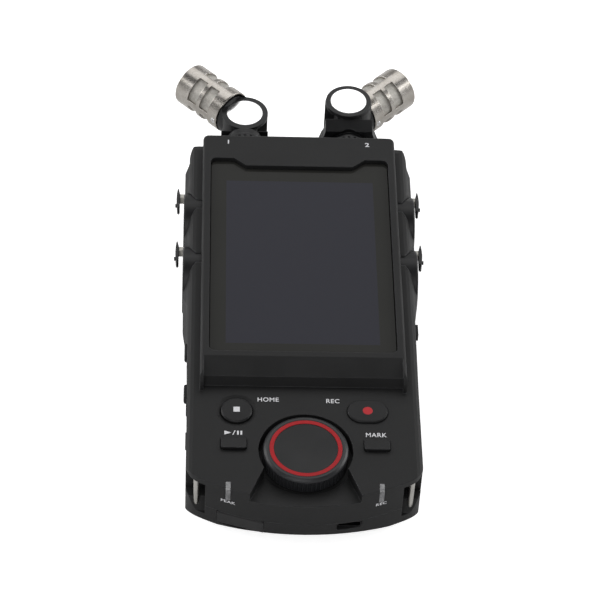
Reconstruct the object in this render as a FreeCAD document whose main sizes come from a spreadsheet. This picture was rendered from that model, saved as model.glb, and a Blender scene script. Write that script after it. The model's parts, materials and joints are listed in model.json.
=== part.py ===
import FreeCAD, Part
import Sketcher
import math
import os
from FreeCAD import Vector

# Portable field recorder, modelled as its separate pieces in one frame (millimetres).
# The case lies on its back: +Z out of the display, +Y towards the microphones, +X to the right of
# the display. The origin is the mouth of the 1/4-20 tripod thread in the back face, straight
# below the display's centre. The front shell is the upper one in Z, the rear shell the lower one.

doc = FreeCAD.newDocument("field_recorder")
sheet = doc.addObject("Spreadsheet::Sheet", "dims")


# ---------------------------------------------------------------- dimensions
class Dim:
    """A number together with the sheet expression that gives it."""

    def __init__(self, value, formula):
        self.value = float(value)
        self.formula = formula

    def __add__(self, other):
        return Dim(self.value + number(other), "(%s + %s)" % (self.formula, formula(other)))

    def __radd__(self, other):
        return Dim(number(other) + self.value, "(%s + %s)" % (formula(other), self.formula))

    def __sub__(self, other):
        return Dim(self.value - number(other), "(%s - %s)" % (self.formula, formula(other)))

    def __rsub__(self, other):
        return Dim(number(other) - self.value, "(%s - %s)" % (formula(other), self.formula))

    def __mul__(self, other):
        return Dim(self.value * number(other), "(%s * %s)" % (self.formula, formula(other)))

    __rmul__ = __mul__

    def __neg__(self):
        return Dim(-self.value, "(0 - %s)" % self.formula)


def number(size):
    return size.value if isinstance(size, Dim) else float(size)


def formula(size):
    if isinstance(size, Dim):
        return size.formula
    return ("(%.6f)" if size < 0 else "%.6f") % size


row_count = 0


def dim(name, value, note):
    """Add a row to the sheet: name, value and note."""
    global row_count
    row_count += 1
    sheet.set("A%d" % row_count, name)
    sheet.set("B%d" % row_count, "%.6f" % value)
    sheet.set("C%d" % row_count, note)
    sheet.setAlias("B%d" % row_count, name)
    return Dim(value, "dims." + name)


# case
half_width = dim("half_width", 36.8, "half width of the lower case")
half_width_deck = dim("half_width_deck", 36.4, "half width beside the deck")
half_width_jack = dim("half_width_jack", 38.3, "half width over the jack zone")
half_width_top = dim("half_width_top", 36.9, "half width at the top shoulders")
top_end = dim("top_end", 61.2, "top end of the case")
end_radius = dim("end_arc_radius", 68.0, "plan radius of the lower end")
lower_end = dim("lower_end", 97.0, "distance of the lower end from the origin")
split_z = dim("split_plane", 17.0, "height of the seam between the shells")
deck_z = dim("deck_height", 29.0, "control deck")
frame_z = dim("frame_height", 34.5, "display frame, the highest face of the case")
frame_half = dim("frame_half_width", 32.4, "display frame edge line")
frame_top = dim("frame_top", 57.7, "upper edge of the display frame")
foot_start = dim("foot_start", 43.4, "upper edge of the frame's sloped foot")
# display
recess_half = dim("recess_half_width", 29.8, "display recess")
recess_low = dim("recess_low", 41.3, "display recess, lower edge")
recess_high = dim("recess_high", 46.2, "display recess, upper edge")
recess_mid = dim("recess_mid", 42.7, "display recess, middle of the stepped upper edge")
glass_top = dim("glass_top", 33.0, "outer face of the touch glass")
glass_bottom = dim("glass_bottom", 31.9, "inner face of the touch glass")
display_half = dim("display_half_width", 27.2, "display module")
# dial
dial_x = dim("dial_x", 0.4, "dial axis")
dial_y = dim("dial_y", 77.3, "dial axis, distance towards the lower end")
well_radius = dim("well_radius", 14.6, "round well around the dial")
dial_radius = dim("dial_radius", 13.2, "dial")
ring_outer = dim("dial_ring_outer", 11.2, "coloured ring")
ring_inner = dim("dial_ring_inner", 9.9, "coloured ring")
dial_top = dim("dial_top", 30.1, "dial upper face")
well_floor = dim("well_floor", 24.1, "floor of the dial well")
# jacks
jack_z = dim("jack_height", 18.0, "axis height of the input jacks")
jack_y_upper = dim("jack_y_upper", 29.5, "upper jack pair")
jack_y_lower = dim("jack_y_lower", 4.5, "lower jack pair")
jack_radius = dim("jack_outer_radius", 11.0, "jack shell")
groove_radius = dim("jack_groove_radius", 9.65, "outer wall of the plug groove")
core_radius = dim("jack_core_radius", 7.6, "jack core")
bore_radius = dim("trs_bore_radius", 3.3, "6.35 mm plug bore")
# microphones
mic_x = dim("mic_x", 18.0, "microphone plug axes left and right of the middle")
mic_z = dim("mic_height", 16.5, "height of the microphone axes")
hub_y = dim("hub_y", 83.5, "swivel axis")
hub_radius = dim("hub_radius", 8.1, "hub at its tall face")
hub_radius_short = dim("hub_radius_short", 8.1, "hub at its short face")
hub_tall = dim("hub_tall", 10.7, "tall face above the plug axis")
hub_short = dim("hub_short", 4.2, "short face below the plug axis")
tube_radius = dim("tube_radius", 7.7, "capsule tube")
tube_start = dim("tube_start", 6.6, "capsule tube, from the swivel axis")
tube_end = dim("tube_end", 27.1, "capsule tube, far end")
lock_radius = dim("lock_ring_radius", 7.6, "lock ring")
# cells
cell_radius = dim("cell_radius", 7.1, "AA cell")
cell_length = dim("cell_length", 50.0, "AA cell")

# ---------------------------------------------------------------- fixed places
SIDES = (-1, 1)                          # left, right
JACK_ROWS = (jack_y_upper, jack_y_lower)

# keys on the deck, (x, y)
home_at = (-20.9, -61.5)
record_at = (19.9, -61.4)
play_at = (-21.8, -75.0)
mark_at = (22.4, -75.0)
# keys and sockets on the sides
volume_ys = (-29.0, -46.6)
slider_y = -18.7
phones_y = -54.5
line_out_y = -68.3
mini_socket_z = 21.9
# release levers beside the jacks
lever_offset = 12.5                      # lever axis above the jack axis in Y
lever_x = 36.6
lever_z = 18.7
# case screws, (x, y)
screw_x = 30.3
low_screw_y = -75.6
screw_places = [(side * screw_x, y) for side in SIDES for y in (53.5, low_screw_y)]
# strap bars
strap_x = 33.0
strap_y = -86.6
notch_inner = 30.3
notch_outer = 42.0
# battery bay
bay_half = 31.0
bay_low = -69.0
bay_high = -13.0
bay_corner = 2.0
# loudspeaker
speaker_y = -77.6
slot_pitch = 2.3

# The lower end is an arc in plan, cut off at arc_x by a short straight run to each side.
arc_x = 28.0
arc_centre = end_radius.value - lower_end.value


def end_y(x):
    """The case's lower end at x."""
    return -(math.sqrt(end_radius.value ** 2 - x ** 2) - arc_centre)


arc_slope = arc_x / math.sqrt(end_radius.value ** 2 - arc_x ** 2)
corner_y = end_y(arc_x) + (half_width_deck.value - arc_x) * arc_slope

pipe_x = 23.4
pipe_y = end_y(pipe_x)
usb_x = 14.0
usb_y = end_y(usb_x)
card_x = -19.6
card_y = end_y(card_x)
CARD_TURN = FreeCAD.Rotation(
    Vector(0, 0, 1), -math.degrees(math.asin(abs(card_x) / end_radius.value)))

# ---------------------------------------------------------------- helpers
PLUS_X = FreeCAD.Rotation(Vector(0, 1, 0), 90)
MINUS_X = FreeCAD.Rotation(Vector(0, 1, 0), -90)
PLUS_Y = FreeCAD.Rotation(Vector(1, 0, 0), -90)
MINUS_Y = FreeCAD.Rotation(Vector(1, 0, 0), 90)
OUTWARD = {1: PLUS_X, -1: MINUS_X}

# Sketch planes: rotation of the sketch, direction of extrusion, axis of extrusion
PLANES = {
    "XY": (FreeCAD.Rotation(), Vector(0, 0, 1), "z"),
    "XZ": (FreeCAD.Rotation(Vector(1, 0, 0), 90), Vector(0, 1, 0), "y"),
    "YZ": (FreeCAD.Rotation(Vector(1, 1, 1), 120), Vector(1, 0, 0), "x"),
}

object_count = 0
nodes = {}


def unique(stem):
    global object_count
    object_count += 1
    return "%s_%03d" % (stem, object_count)


def put(obj, prop, size):
    """Set a size and, where it comes from the sheet, bind it."""
    if "." not in prop:
        setattr(obj, prop, number(size))
    if isinstance(size, Dim):
        obj.setExpression(prop, size.formula)


def place(obj, x, y, z, turn=None):
    base = Vector(number(x), number(y), number(z))
    obj.Placement = FreeCAD.Placement(base, turn or FreeCAD.Rotation())
    put(obj, "Placement.Base.x", x)
    put(obj, "Placement.Base.y", y)
    put(obj, "Placement.Base.z", z)
    return obj


def box(x0, x1, y0, y1, z0, z1):
    obj = doc.addObject("Part::Box", unique("box"))
    put(obj, "Length", x1 - x0)
    put(obj, "Width", y1 - y0)
    put(obj, "Height", z1 - z0)
    return place(obj, x0, y0, z0)


def span(side, inner, outer):
    """The X range between two distances from the middle, on one side."""
    return sorted((side * inner, side * outer))


def side_box(side, inner, outer, y0, y1, z0, z1):
    return box(*span(side, inner, outer), y0, y1, z0, z1)


def cyl(x, y, z, radius, length, turn=None):
    """A cylinder along +Z from the given point, or along the turned axis."""
    obj = doc.addObject("Part::Cylinder", unique("cyl"))
    put(obj, "Radius", radius)
    put(obj, "Height", length)
    return place(obj, x, y, z, turn)


def cone(x, y, z, radius1, radius2, length):
    obj = doc.addObject("Part::Cone", unique("cone"))
    put(obj, "Radius1", radius1)
    put(obj, "Radius2", radius2)
    put(obj, "Height", length)
    return place(obj, x, y, z)


def fuse(*parts):
    if len(parts) == 1:
        return parts[0]
    obj = doc.addObject("Part::MultiFuse", unique("fuse"))
    obj.Shapes = list(parts)
    obj.Refine = True
    return obj


def cut(base, *tools):
    obj = doc.addObject("Part::Cut", unique("cut"))
    obj.Base = base
    obj.Tool = fuse(*tools)
    obj.Refine = True
    return obj


def common(*parts):
    obj = doc.addObject("Part::MultiCommon", unique("common"))
    obj.Shapes = list(parts)
    obj.Refine = True
    return obj


def group(*parts):
    """Identical pieces that stay separate solids in one node."""
    obj = doc.addObject("Part::Compound", unique("set"))
    obj.Links = list(parts)
    return obj


def constrain(sketch, name, size, kind, *where):
    """Add a dimension to a sketch, named and bound where it comes from the sheet."""
    index = sketch.addConstraint(Sketcher.Constraint(kind, *where, number(size)))
    if isinstance(size, Dim):
        sketch.renameConstraint(index, name)
        sketch.setExpression("Constraints." + name, size.formula)


def arc_between(ax, ay, bx, by, radius, turn):
    """The arc from a to b; turn +1 runs counter-clockwise, -1 clockwise."""
    dx, dy = bx - ax, by - ay
    chord = math.hypot(dx, dy)
    rise = math.sqrt(max(radius * radius - chord * chord / 4, 0.0))
    cx = (ax + bx) / 2 - dy / chord * rise * turn
    cy = (ay + by) / 2 + dx / chord * rise * turn
    start, end = math.atan2(ay - cy, ax - cx), math.atan2(by - cy, bx - cx)
    if turn < 0:
        start, end = end, start
    if end < start:
        end += 2 * math.pi
    return Part.ArcOfCircle(Part.Circle(Vector(cx, cy, 0), Vector(0, 0, 1), radius), start, end)


def draw_path(sketch, path):
    """Draw one closed outline. path: (x, y) for a line or (x, y, radius, turn) for an arc to that
    point. Every corner is dimensioned from the sketch origin."""
    segments = []                        # geometry, start vertex, end vertex, radius
    count = len(path)
    for i in range(count):
        target = path[(i + 1) % count]
        ax, ay = [number(c) for c in path[i][:2]]
        bx, by = [number(c) for c in target[:2]]
        if len(target) > 2:
            radius, turn = target[2:]
            geo = sketch.addGeometry(arc_between(ax, ay, bx, by, number(radius), turn), False)
            segments.append((geo, 1, 2, radius) if turn > 0 else (geo, 2, 1, radius))
        else:
            line = Part.LineSegment(Vector(ax, ay, 0), Vector(bx, by, 0))
            segments.append((sketch.addGeometry(line, False), 1, 2, None))
    for i in range(count):
        geo, _, end, _ = segments[i]
        next_geo, next_start, _, _ = segments[(i + 1) % count]
        sketch.addConstraint(Sketcher.Constraint("Coincident", geo, end, next_geo, next_start))
    for point, (geo, start, _, radius) in zip(path, segments):
        constrain(sketch, "px%d" % geo, point[0], "DistanceX", -1, 1, geo, start)
        constrain(sketch, "py%d" % geo, point[1], "DistanceY", -1, 1, geo, start)
        if radius is not None:
            constrain(sketch, "rad%d" % geo, radius, "Radius", geo)


def draw_circle(sketch, x, y, radius):
    circle = Part.Circle(Vector(number(x), number(y), 0), Vector(0, 0, 1), number(radius))
    geo = sketch.addGeometry(circle, False)
    constrain(sketch, "cx%d" % geo, x, "DistanceX", -1, 1, geo, 3)
    constrain(sketch, "cy%d" % geo, y, "DistanceY", -1, 1, geo, 3)
    constrain(sketch, "r%d" % geo, radius, "Radius", geo)


def extrude(plane, path, low, high):
    """A sketched outline in a plane, extruded along the plane's normal axis from low to high."""
    turn, direction, axis = PLANES[plane]
    sketch = doc.addObject("Sketcher::SketchObject", unique("outline"))
    draw_path(sketch, path)
    base = {"x": 0, "y": 0, "z": 0}
    base[axis] = low
    place(sketch, base["x"], base["y"], base["z"], turn)
    obj = doc.addObject("Part::Extrusion", unique("extrude"))
    obj.Base = sketch
    obj.DirMode = "Custom"
    obj.Dir = direction
    obj.Solid = True
    put(obj, "LengthFwd", high - low)
    return obj


def rect(x0, x1, y0, y1):
    return [(x0, y0), (x1, y0), (x1, y1), (x0, y1)]


def mirrored(right):
    """An outline from its right half."""
    return right + [(-x, y) for x, y in reversed(right)]


def pill(place_xy, half_length, half_height, z0, z1):
    """A prism with round ends, long in X."""
    x, y = place_xy
    left = x - half_length + half_height
    right = x + half_length - half_height
    # the arc's radius is a trace over half its chord, so that its centre is always found
    path = [(left, y - half_height), (right, y - half_height),
            (right, y + half_height, half_height * 1.0001, 1), (left, y + half_height)]
    return fuse(extrude("XY", path, z0, z1), cyl(left, y, z0, half_height, z1 - z0))


def rounded(obj, radius, pick):
    """Fillet the edges that pick accepts."""
    doc.recompute()
    edges = [(i + 1, radius, radius) for i, edge in enumerate(obj.Shape.Edges) if pick(edge)]
    if not edges:
        raise RuntimeError("no edges to round on " + obj.Name)
    fillet = doc.addObject("Part::Fillet", unique("fillet"))
    fillet.Base = obj
    fillet.Edges = edges
    doc.recompute()
    if fillet.Shape.isNull() or not fillet.Shape.isValid() or fillet.Shape.Volume <= 0:
        raise RuntimeError("rounding failed on " + obj.Name)
    return fillet


def within(edge, x=None, y=None, z=None):
    """True when the edge's box lies in the given ranges: numbers or (low, high)."""
    slack = 0.05
    bounds = edge.BoundBox
    for want, low, high in ((x, bounds.XMin, bounds.XMax), (y, bounds.YMin, bounds.YMax),
                            (z, bounds.ZMin, bounds.ZMax)):
        if want is None:
            continue
        want_low, want_high = want if isinstance(want, tuple) else (want, want)
        if low < want_low - slack or high > want_high + slack:
            return False
    return True


def vertical(edge):
    bounds = edge.BoundBox
    return bounds.XLength < 1e-4 and bounds.YLength < 1e-4 and bounds.ZLength > 1e-3


def at_half_width(edge, half):
    """True when the edge starts at this distance from the middle, on either side."""
    return abs(abs(edge.BoundBox.XMin) - half) < 0.05


def full_circle(edge, radius):
    return abs(edge.Length - 2 * math.pi * radius) < 0.05


class Body:
    """A turned or padded piece that is drawn with outlines on its own origin planes."""

    def __init__(self, label):
        self.body = doc.addObject("PartDesign::Body", unique("Body"))
        self.body.Label = label

    def origin(self, role):
        return [f for f in self.body.Origin.OriginFeatures if f.Role == role][0]

    def sketch(self, plane, paths, offset=0):
        sketch = self.body.newObject("Sketcher::SketchObject", unique("Sketch"))
        sketch.AttachmentSupport = [(self.origin(plane + "_Plane"), "")]
        sketch.MapMode = "FlatFace"
        sketch.AttachmentOffset = FreeCAD.Placement(
            Vector(0, 0, number(offset)), FreeCAD.Rotation())
        if isinstance(offset, Dim):
            sketch.setExpression("AttachmentOffset.Base.z", offset.formula)
        for path in paths:
            if path[0] == "circle":
                draw_circle(sketch, *path[1:])
            else:
                draw_path(sketch, path)
        return sketch

    def prism(self, kind, paths, length, offset, reverse):
        sketch = self.sketch("XY", paths, offset)
        feature = self.body.newObject("PartDesign::" + kind, unique(kind))
        feature.Profile = sketch
        put(feature, "Length", length)
        feature.Reversed = reverse
        feature.Refine = True
        self.body.Tip = feature
        doc.recompute()
        return feature

    def pad(self, paths, length, offset=0):
        self.prism("Pad", paths, length, offset, False)

    def pocket(self, paths, length, offset=0, reverse=False):
        before = self.body.Shape.Volume
        feature = self.prism("Pocket", paths, length, offset, reverse)
        # a pocket that runs away from the material is turned round
        if not feature.Shape.Volume < before - 1e-6:
            feature.Reversed = not reverse
            doc.recompute()
            if not feature.Shape.Volume < before - 1e-6:
                raise RuntimeError("a pocket removes nothing in " + self.body.Label)

    def turn(self, path):
        """Revolve a (radius, height) outline about Z."""
        sketch = self.sketch("XZ", [path])
        feature = self.body.newObject("PartDesign::Revolution", unique("Revolution"))
        feature.Profile = sketch
        feature.ReferenceAxis = (sketch, ["V_Axis"])
        feature.Angle = 360
        self.body.Tip = feature
        doc.recompute()

    def dress(self, kind, size, pick):
        """Fillet or chamfer the edges that pick accepts."""
        tip = self.body.Tip
        doc.recompute()
        names = ["Edge%d" % (i + 1) for i, edge in enumerate(tip.Shape.Edges) if pick(edge)]
        if not names:
            raise RuntimeError("no edges for %s in %s" % (kind, self.body.Label))
        feature = self.body.newObject("PartDesign::" + kind, unique(kind))
        feature.Base = (tip, names)
        put(feature, "Radius" if kind == "Fillet" else "Size", size)
        self.body.Tip = feature
        doc.recompute()
        if feature.Shape.isNull() or not feature.Shape.isValid():
            raise RuntimeError("%s failed in %s" % (kind, self.body.Label))

    def flutes(self, name, path, start, length, count):
        """Cut one groove along +Z from start and repeat it around the Z axis."""
        sketch = self.sketch("XY", [path], start)
        groove = self.body.newObject("PartDesign::Pocket", name)
        groove.Profile = sketch
        groove.Length = length
        groove.Reversed = True
        self.body.Tip = groove
        doc.recompute()
        pattern = self.body.newObject("PartDesign::PolarPattern", unique("PolarPattern"))
        pattern.Originals = [groove]
        pattern.Axis = (self.origin("Z_Axis"), [""])
        pattern.Angle = 360
        pattern.Occurrences = count
        self.body.Tip = pattern
        doc.recompute()

    def at(self, x, y, z, turn=None):
        return place(self.body, x, y, z, turn)


def node(label, obj):
    """Name a finished piece, which becomes one file."""
    obj.Label = label
    nodes[label] = obj


# ---------------------------------------------------------------- shared case shapes
def case_blank(low, high):
    """The case's plan outline between two heights, with its four outer corners rounded."""
    path = mirrored([
        (arc_x, end_y(arc_x)),
        (half_width_deck, corner_y),
        (half_width_deck, -52.0),
        (half_width, -15.0),
        (half_width_jack, -8.0),
        (half_width_jack, 50.0),
        (half_width_top, 51.4),
        (half_width_top, top_end),
    ])
    path[0] += (end_radius, 1)
    blank = extrude("XY", path, low, high)
    return rounded(blank, 8.0, lambda edge: vertical(edge) and (
        (at_half_width(edge, half_width_deck.value) and edge.BoundBox.YMin < -80)
        or (at_half_width(edge, half_width_top.value) and edge.BoundBox.YMin > 60)))


def cavity_path(side_end_y, middle_end_y, x_low, x_mid):
    """Inner outline of a shell: its lower end beside and at the middle, and its half width at
    y = -80 and y = -15."""
    right = [(27.5, side_end_y), (27.5, -80.0), (x_low, -80.0), (x_mid, -15.0), (35.3, -9.0),
             (35.3, 49.0), (34.4, 50.5), (34.4, top_end - 2.4)]
    return mirrored(right) + [(-12.0, middle_end_y), (12.0, middle_end_y)]


def jack_holes():
    """One bore per jack pair, right through the case."""
    return [cyl(-45.0, y, jack_z, jack_radius + 0.15, 90.0, PLUS_X) for y in JACK_ROWS]


def mic_holes():
    return [cyl(side * mic_x, 50.0, mic_z, 8.25, 16.0, PLUS_Y) for side in SIDES]


def display_path(clearance, step_shift):
    """The display recess with its stepped upper edge, drawn in by a clearance."""
    half = recess_half - clearance
    low = recess_low - clearance
    high = recess_high - clearance
    mid = recess_mid - clearance
    step_outer = 22.05 + step_shift
    step_inner = 17.85 + step_shift
    return [(-half, -low), (half, -low), (half, high), (step_outer, high), (step_inner, mid),
            (-step_inner, mid), (-step_outer, high), (-half, high)]


# ---------------------------------------------------------------- front shell
def side_cut(side):
    """Beside the display frame the case drops to the deck and rolls over to its side."""
    # (x, z)
    band = [(frame_half, frame_z + 1.0), (frame_half, deck_z), (34.3, 29.0), (35.4, 28.6),
            (36.2, 27.9), (36.75, 26.9), (37.2, 25.4), (38.4, 22.6), (45.0, 22.6),
            (45.0, frame_z + 1.0)]
    return extrude("XZ", [(side * x, z) for x, z in band], -100.0, 66.0)


def shoulder_cut(side):
    """The shoulders beside the frame roll down towards the upper end."""
    # (y, z)
    roll = [(55.6, deck_z + 0.01), (57.8, 28.3), (59.4, 27.0), (60.5, 25.0), (61.21, 22.0),
            (66.0, 22.0), (66.0, 30.0), (55.6, 30.0)]
    return extrude("YZ", roll, *span(side, frame_half.value, 45.0))


def frame_corner(side):
    """Rounds one of the display frame's upper corners in plan."""
    radius = 1.9
    x = frame_half.value - radius
    y = frame_top.value - radius
    path = [(side * x, y + radius), (side * (x + radius), y, radius, -side),
            (side * (x + 6.0), y), (side * (x + 6.0), y + 8.0), (side * x, y + 8.0)]
    return extrude("XY", path, deck_z, frame_z + 1.0)


def front_blank():
    blank = case_blank(split_z, frame_z)
    # above the deck, up the frame's lower end, over the frame and down at the upper end: (y, z)
    lid = [(-101.0, deck_z), (-53.4, deck_z), (-53.2, 30.6), (-52.7, 32.2), (-51.8, 33.5),
           (-50.6, 34.2), (-49.2, frame_z), (frame_top, frame_z), (frame_top, deck_z),
           (60.0, 27.5), (top_end + 0.1, 21.0), (64.0, 21.0), (64.0, 36.0), (-101.0, 36.0)]
    lid_cut = extrude("YZ", lid, -45.0, 45.0)
    # the frame's sloped foot: (y, z)
    foot = [(-58.0, deck_z), (-51.3, deck_z), (-50.1, 32.3), (-foot_start, frame_z),
            (-foot_start, 36.0), (-58.0, 36.0)]
    foot_cut = extrude("YZ", foot, -31.3, 31.3)
    blank = cut(blank, side_cut(1), side_cut(-1), lid_cut, foot_cut, shoulder_cut(1),
                shoulder_cut(-1), frame_corner(1), frame_corner(-1))

    # the frame's long sides, its upper corners and its upper edge are rolled
    top = frame_z.value
    half = frame_half.value
    upper = frame_top.value
    return rounded(blank, 1.1, lambda edge: within(edge, z=(top - 0.1, top + 0.1)) and (
        within(edge, x=(half - 0.2, half + 0.2)) or within(edge, x=(-half - 0.2, 0.2 - half))
        or within(edge, y=(upper - 2.0, upper + 0.1))) and edge.Length > 2.0)


def front_cavity():
    """Space under the deck and the deeper pocket under the display, less the dial well's block."""
    under_deck = extrude("XY", cavity_path(-89.2, -93.4, 34.0, 34.4), 2.0, 27.0)
    under_display = box(-30.6, 30.6, -41.5, 55.0, 26.0, 30.4)
    apron = [(-13.5, -84.0), (-17.6, -91.0), (-17.6, -94.2), (17.6, -94.2), (17.6, -91.0),
             (13.9, -84.0)]
    block = fuse(cyl(dial_x, -dial_y, 22.0, well_radius + 1.8, 5.5),
                 extrude("XY", apron, 22.0, 27.5))
    block = common(block, box(-30.0, 30.0, -94.6, -50.0, 21.0, 28.0))
    return cut(fuse(under_deck, under_display), block)


def dial_well():
    """Round pocket with a scoop that opens through the lower end."""
    side_view = [(-78.0, well_floor), (-100.0, well_floor + 1.9), (-100.0, 31.0), (-78.0, 31.0)]
    scoop = extrude("YZ", side_view, -30.0, 30.0)
    plan_view = [(-12.7, -84.6), (-16.9, -95.0), (-17.7, -99.0), (18.3, -99.0), (17.3, -95.0),
                 (13.5, -84.6), (8.0, -78.0), (-8.0, -78.0)]
    scoop = common(scoop, extrude("XY", plan_view, 20.0, 32.0))
    return fuse(cyl(dial_x, -dial_y, well_floor, well_radius, 8.0), scoop)


def deck_openings():
    hole_radius = 5.05
    openings = [
        cyl(*home_at, 26.0, hole_radius, 4.0),
        cone(*home_at, deck_z - 0.55, hole_radius, 6.5, 0.56),
        pill(record_at, 6.5, 4.7, 26.0, 31.0),
    ]
    for x, y in (play_at, mark_at):
        openings.append(rounded(box(x - 4.1, x + 4.1, y - 2.5, y + 2.5, 26.0, 31.0),
                                0.8, vertical))
    # light pipe slots run over the deck's lower edge and down the end
    for side in SIDES:
        x0 = side * pipe_x - 0.85
        x1 = side * pipe_x + 0.85
        openings.append(box(x0, x1, pipe_y - 2.0, -90.1, deck_z - 1.3, 30.0))
        openings.append(box(x0, x1, pipe_y - 2.0, pipe_y + 1.45, 23.6, 30.0))
    return openings


def strap_notches():
    """Notches in the lower corners, with a blind seat for each bar."""
    notches = []
    for side in SIDES:
        notches.append(side_box(side, notch_inner, notch_outer, -100.0, -82.2, 15.0, 27.0))
        notches.append(cyl(side * strap_x, strap_y, 26.0, 0.92, 2.2))
    return notches


def side_openings():
    """Jacks, lever slots and pins, volume keys, power slider and the two small sockets."""
    openings = jack_holes()
    for jack_y in JACK_ROWS:
        y = jack_y + lever_offset
        for side in SIDES:
            openings.append(side_box(side, 33.0, 40.0, y - 1.3, y + 1.3, 17.0, 20.5))
            openings.append(cyl(side * lever_x, y, 17.0, 0.52, 5.2))
    for y in volume_ys:
        openings.append(box(-40.0, -33.0, y - 2.75, y + 2.75, 17.5, 21.1))
    openings.append(box(33.0, 40.0, slider_y - 5.2, slider_y + 5.2, 17.9, 21.1))
    for y in (phones_y, line_out_y):
        openings.append(cyl(-45.0, y, mini_socket_z, 2.85, 14.0, PLUS_X))
    return openings


def front_shell():
    shell = front_blank()
    recess = extrude("XY", display_path(0.0, 0.0), glass_bottom, frame_z + 1.0)
    recess = rounded(recess, 2.0,
                     lambda edge: vertical(edge) and at_half_width(edge, recess_half.value))
    window = box(-(display_half + 0.3), display_half + 0.3, -40.9, 41.9, 28.0, 32.4)
    cavity = front_cavity()
    well = dial_well()
    encoder_hole = box(dial_x - 6.3, dial_x + 6.3, -dial_y - 6.3, -dial_y + 6.3, 20.0, 26.0)
    openings = deck_openings() + strap_notches() + side_openings() + mic_holes()
    return cut(shell, recess, window, cavity, well, encoder_hole, *openings)


# ---------------------------------------------------------------- rear shell
LEAN = 0.951                             # inward run per millimetre of height
LEAN_TOP = 12.2                          # height where the lean meets the end at the middle
# Leaning cones: centre in Y, radius, height at which the cone has that radius
LEAN_CONES = (
    (104.7 - lower_end.value, 104.7, LEAN_TOP),
    (arc_centre, end_radius.value, 10.2),
)


def leaning_end(inward, low, high):
    """Everything outside the lower end, which leans in below a line that dips towards the
    corners; moved inward for the inner wall."""
    tools = []
    top = high + 1.0
    for centre_y, radius, z in LEAN_CONES:
        low_radius = radius - (z - low) * LEAN - inward
        top_radius = radius + (top - z) * LEAN - inward
        tools.append(cut(box(-45.0, 45.0, -104.0, -72.0, low, high),
                         cone(0.0, centre_y, low, low_radius, top_radius, top - low)))
    return fuse(*tools)


def back_edge(side):
    """Rounds one long edge of the back."""
    radius = 6.5
    outer = half_width_jack.value
    path = [(side * (outer - radius), 0.0), (side * outer, radius, radius, side),
            (side * 42.0, radius), (side * 42.0, -2.0), (side * (outer - radius), -2.0)]
    return extrude("XZ", path, -100.0, 66.0)


def rear_cavity():
    """Inner space, less the screw bosses, the tripod boss and two ribs."""
    space = extrude("XY", cavity_path(-86.5, -90.5, 33.0, 33.6), 2.4, split_z + 1.0)
    kept = [cyl(x, y, 0.5, 3.1, 13.0) for x, y in screw_places]
    kept.append(cyl(0.0, 0.0, 0.5, 6.2, 8.5))
    kept += [box(-33.9, 33.9, y, y + 1.2, 1.0, 15.0) for y in (-70.3, -12.9)]
    return cut(space, leaning_end(2.83, -1.0, 19.0), fuse(*kept))


def back_holes():
    """Screw holes, tripod insert seat and loudspeaker slots."""
    holes = [cyl(x, y, -1.0, 1.3, 20.0) for x, y in screw_places]
    holes += [cyl(x, y, -1.0, 2.5, 3.2) for x, y in screw_places]
    holes.append(cyl(0.0, 0.0, -1.0, 4.72, 12.0))
    holes.append(cyl(0.0, 0.0, 6.48, 5.65, 6.0))
    for i in range(-2, 3):
        y = speaker_y + i * slot_pitch
        holes.append(box(-5.2, 5.2, y - 0.6, y + 0.6, -1.0, 4.0))
    return holes


def strap_seats():
    """Holes for the strap bars and the notch floors, which fall away towards the end."""
    seats = [cyl(side * strap_x, strap_y, 12.8, 0.92, 5.0) for side in SIDES]
    floor = [(-86.0, 17.0), (-88.6, 13.2), (-100.0, 13.2), (-100.0, 18.0), (-86.0, 18.0)]
    seats += [extrude("YZ", floor, *span(side, notch_inner, notch_outer)) for side in SIDES]
    return seats


def card_box(x0, x1, y0, y1, z0, z1):
    """A box square to the curved lower end at the card door; y counts inward from the end."""
    obj = extrude("XY", rect(x0, x1, y0, y1), z0, z1)
    obj.Placement = FreeCAD.Placement(Vector(card_x, card_y, 0.0), CARD_TURN)
    return obj


def rear_shell():
    shell = case_blank(0.0, split_z)
    long_edges = [back_edge(side) for side in SIDES]
    lower_cut = leaning_end(0.0, -2.0, LEAN_TOP + 0.5)
    upper_edge = extrude("YZ", [(56.2, 0.0), (61.2, 5.0, 5.0, 1), (66.0, 5.0), (66.0, -2.0),
                                (56.2, -2.0)], -45.0, 45.0)
    shell = cut(shell, *long_edges, lower_cut, upper_edge)
    cavity = rear_cavity()
    bay = rounded(box(-bay_half, bay_half, bay_low, bay_high, -1.0, 4.0), bay_corner, vertical)
    card_recess = card_box(-7.55, 7.55, -3.0, 1.6, 11.3, 17.0)
    card_slot = card_box(-6.0, 6.0, 0.0, 12.0, 12.6, 15.2)
    usb_hole = rounded(box(usb_x - 3.95, usb_x + 3.95, -99.0, -80.0, 13.75, 16.75), 0.8,
                       lambda edge: edge.BoundBox.YLength > 10)
    holes = back_holes() + strap_seats() + jack_holes() + mic_holes()
    return cut(shell, cavity, bay, card_recess, card_slot, usb_hole, *holes)


# ---------------------------------------------------------------- touch glass and display module
def touch_glass():
    clearance = 0.12
    half = recess_half.value - clearance
    glass = Body("touch_glass")
    glass.pad([display_path(clearance, 0.05)], glass_top - glass_bottom, glass_bottom)
    glass.dress("Fillet", 1.9, lambda edge: vertical(edge) and at_half_width(edge, half))
    glass.dress("Chamfer", 0.15, lambda edge: within(edge, z=glass_top.value))
    return glass.body


def display_module():
    """The module, with its picture area let in by a trace."""
    module = Body("display_module")
    module.pad([rect(-display_half, display_half, -40.6, 41.6)], 2.4, 29.2)
    module.pocket([rect(-24.48, 24.48, -36.72, 36.72)], 0.15, 31.6)
    return module.body


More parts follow.
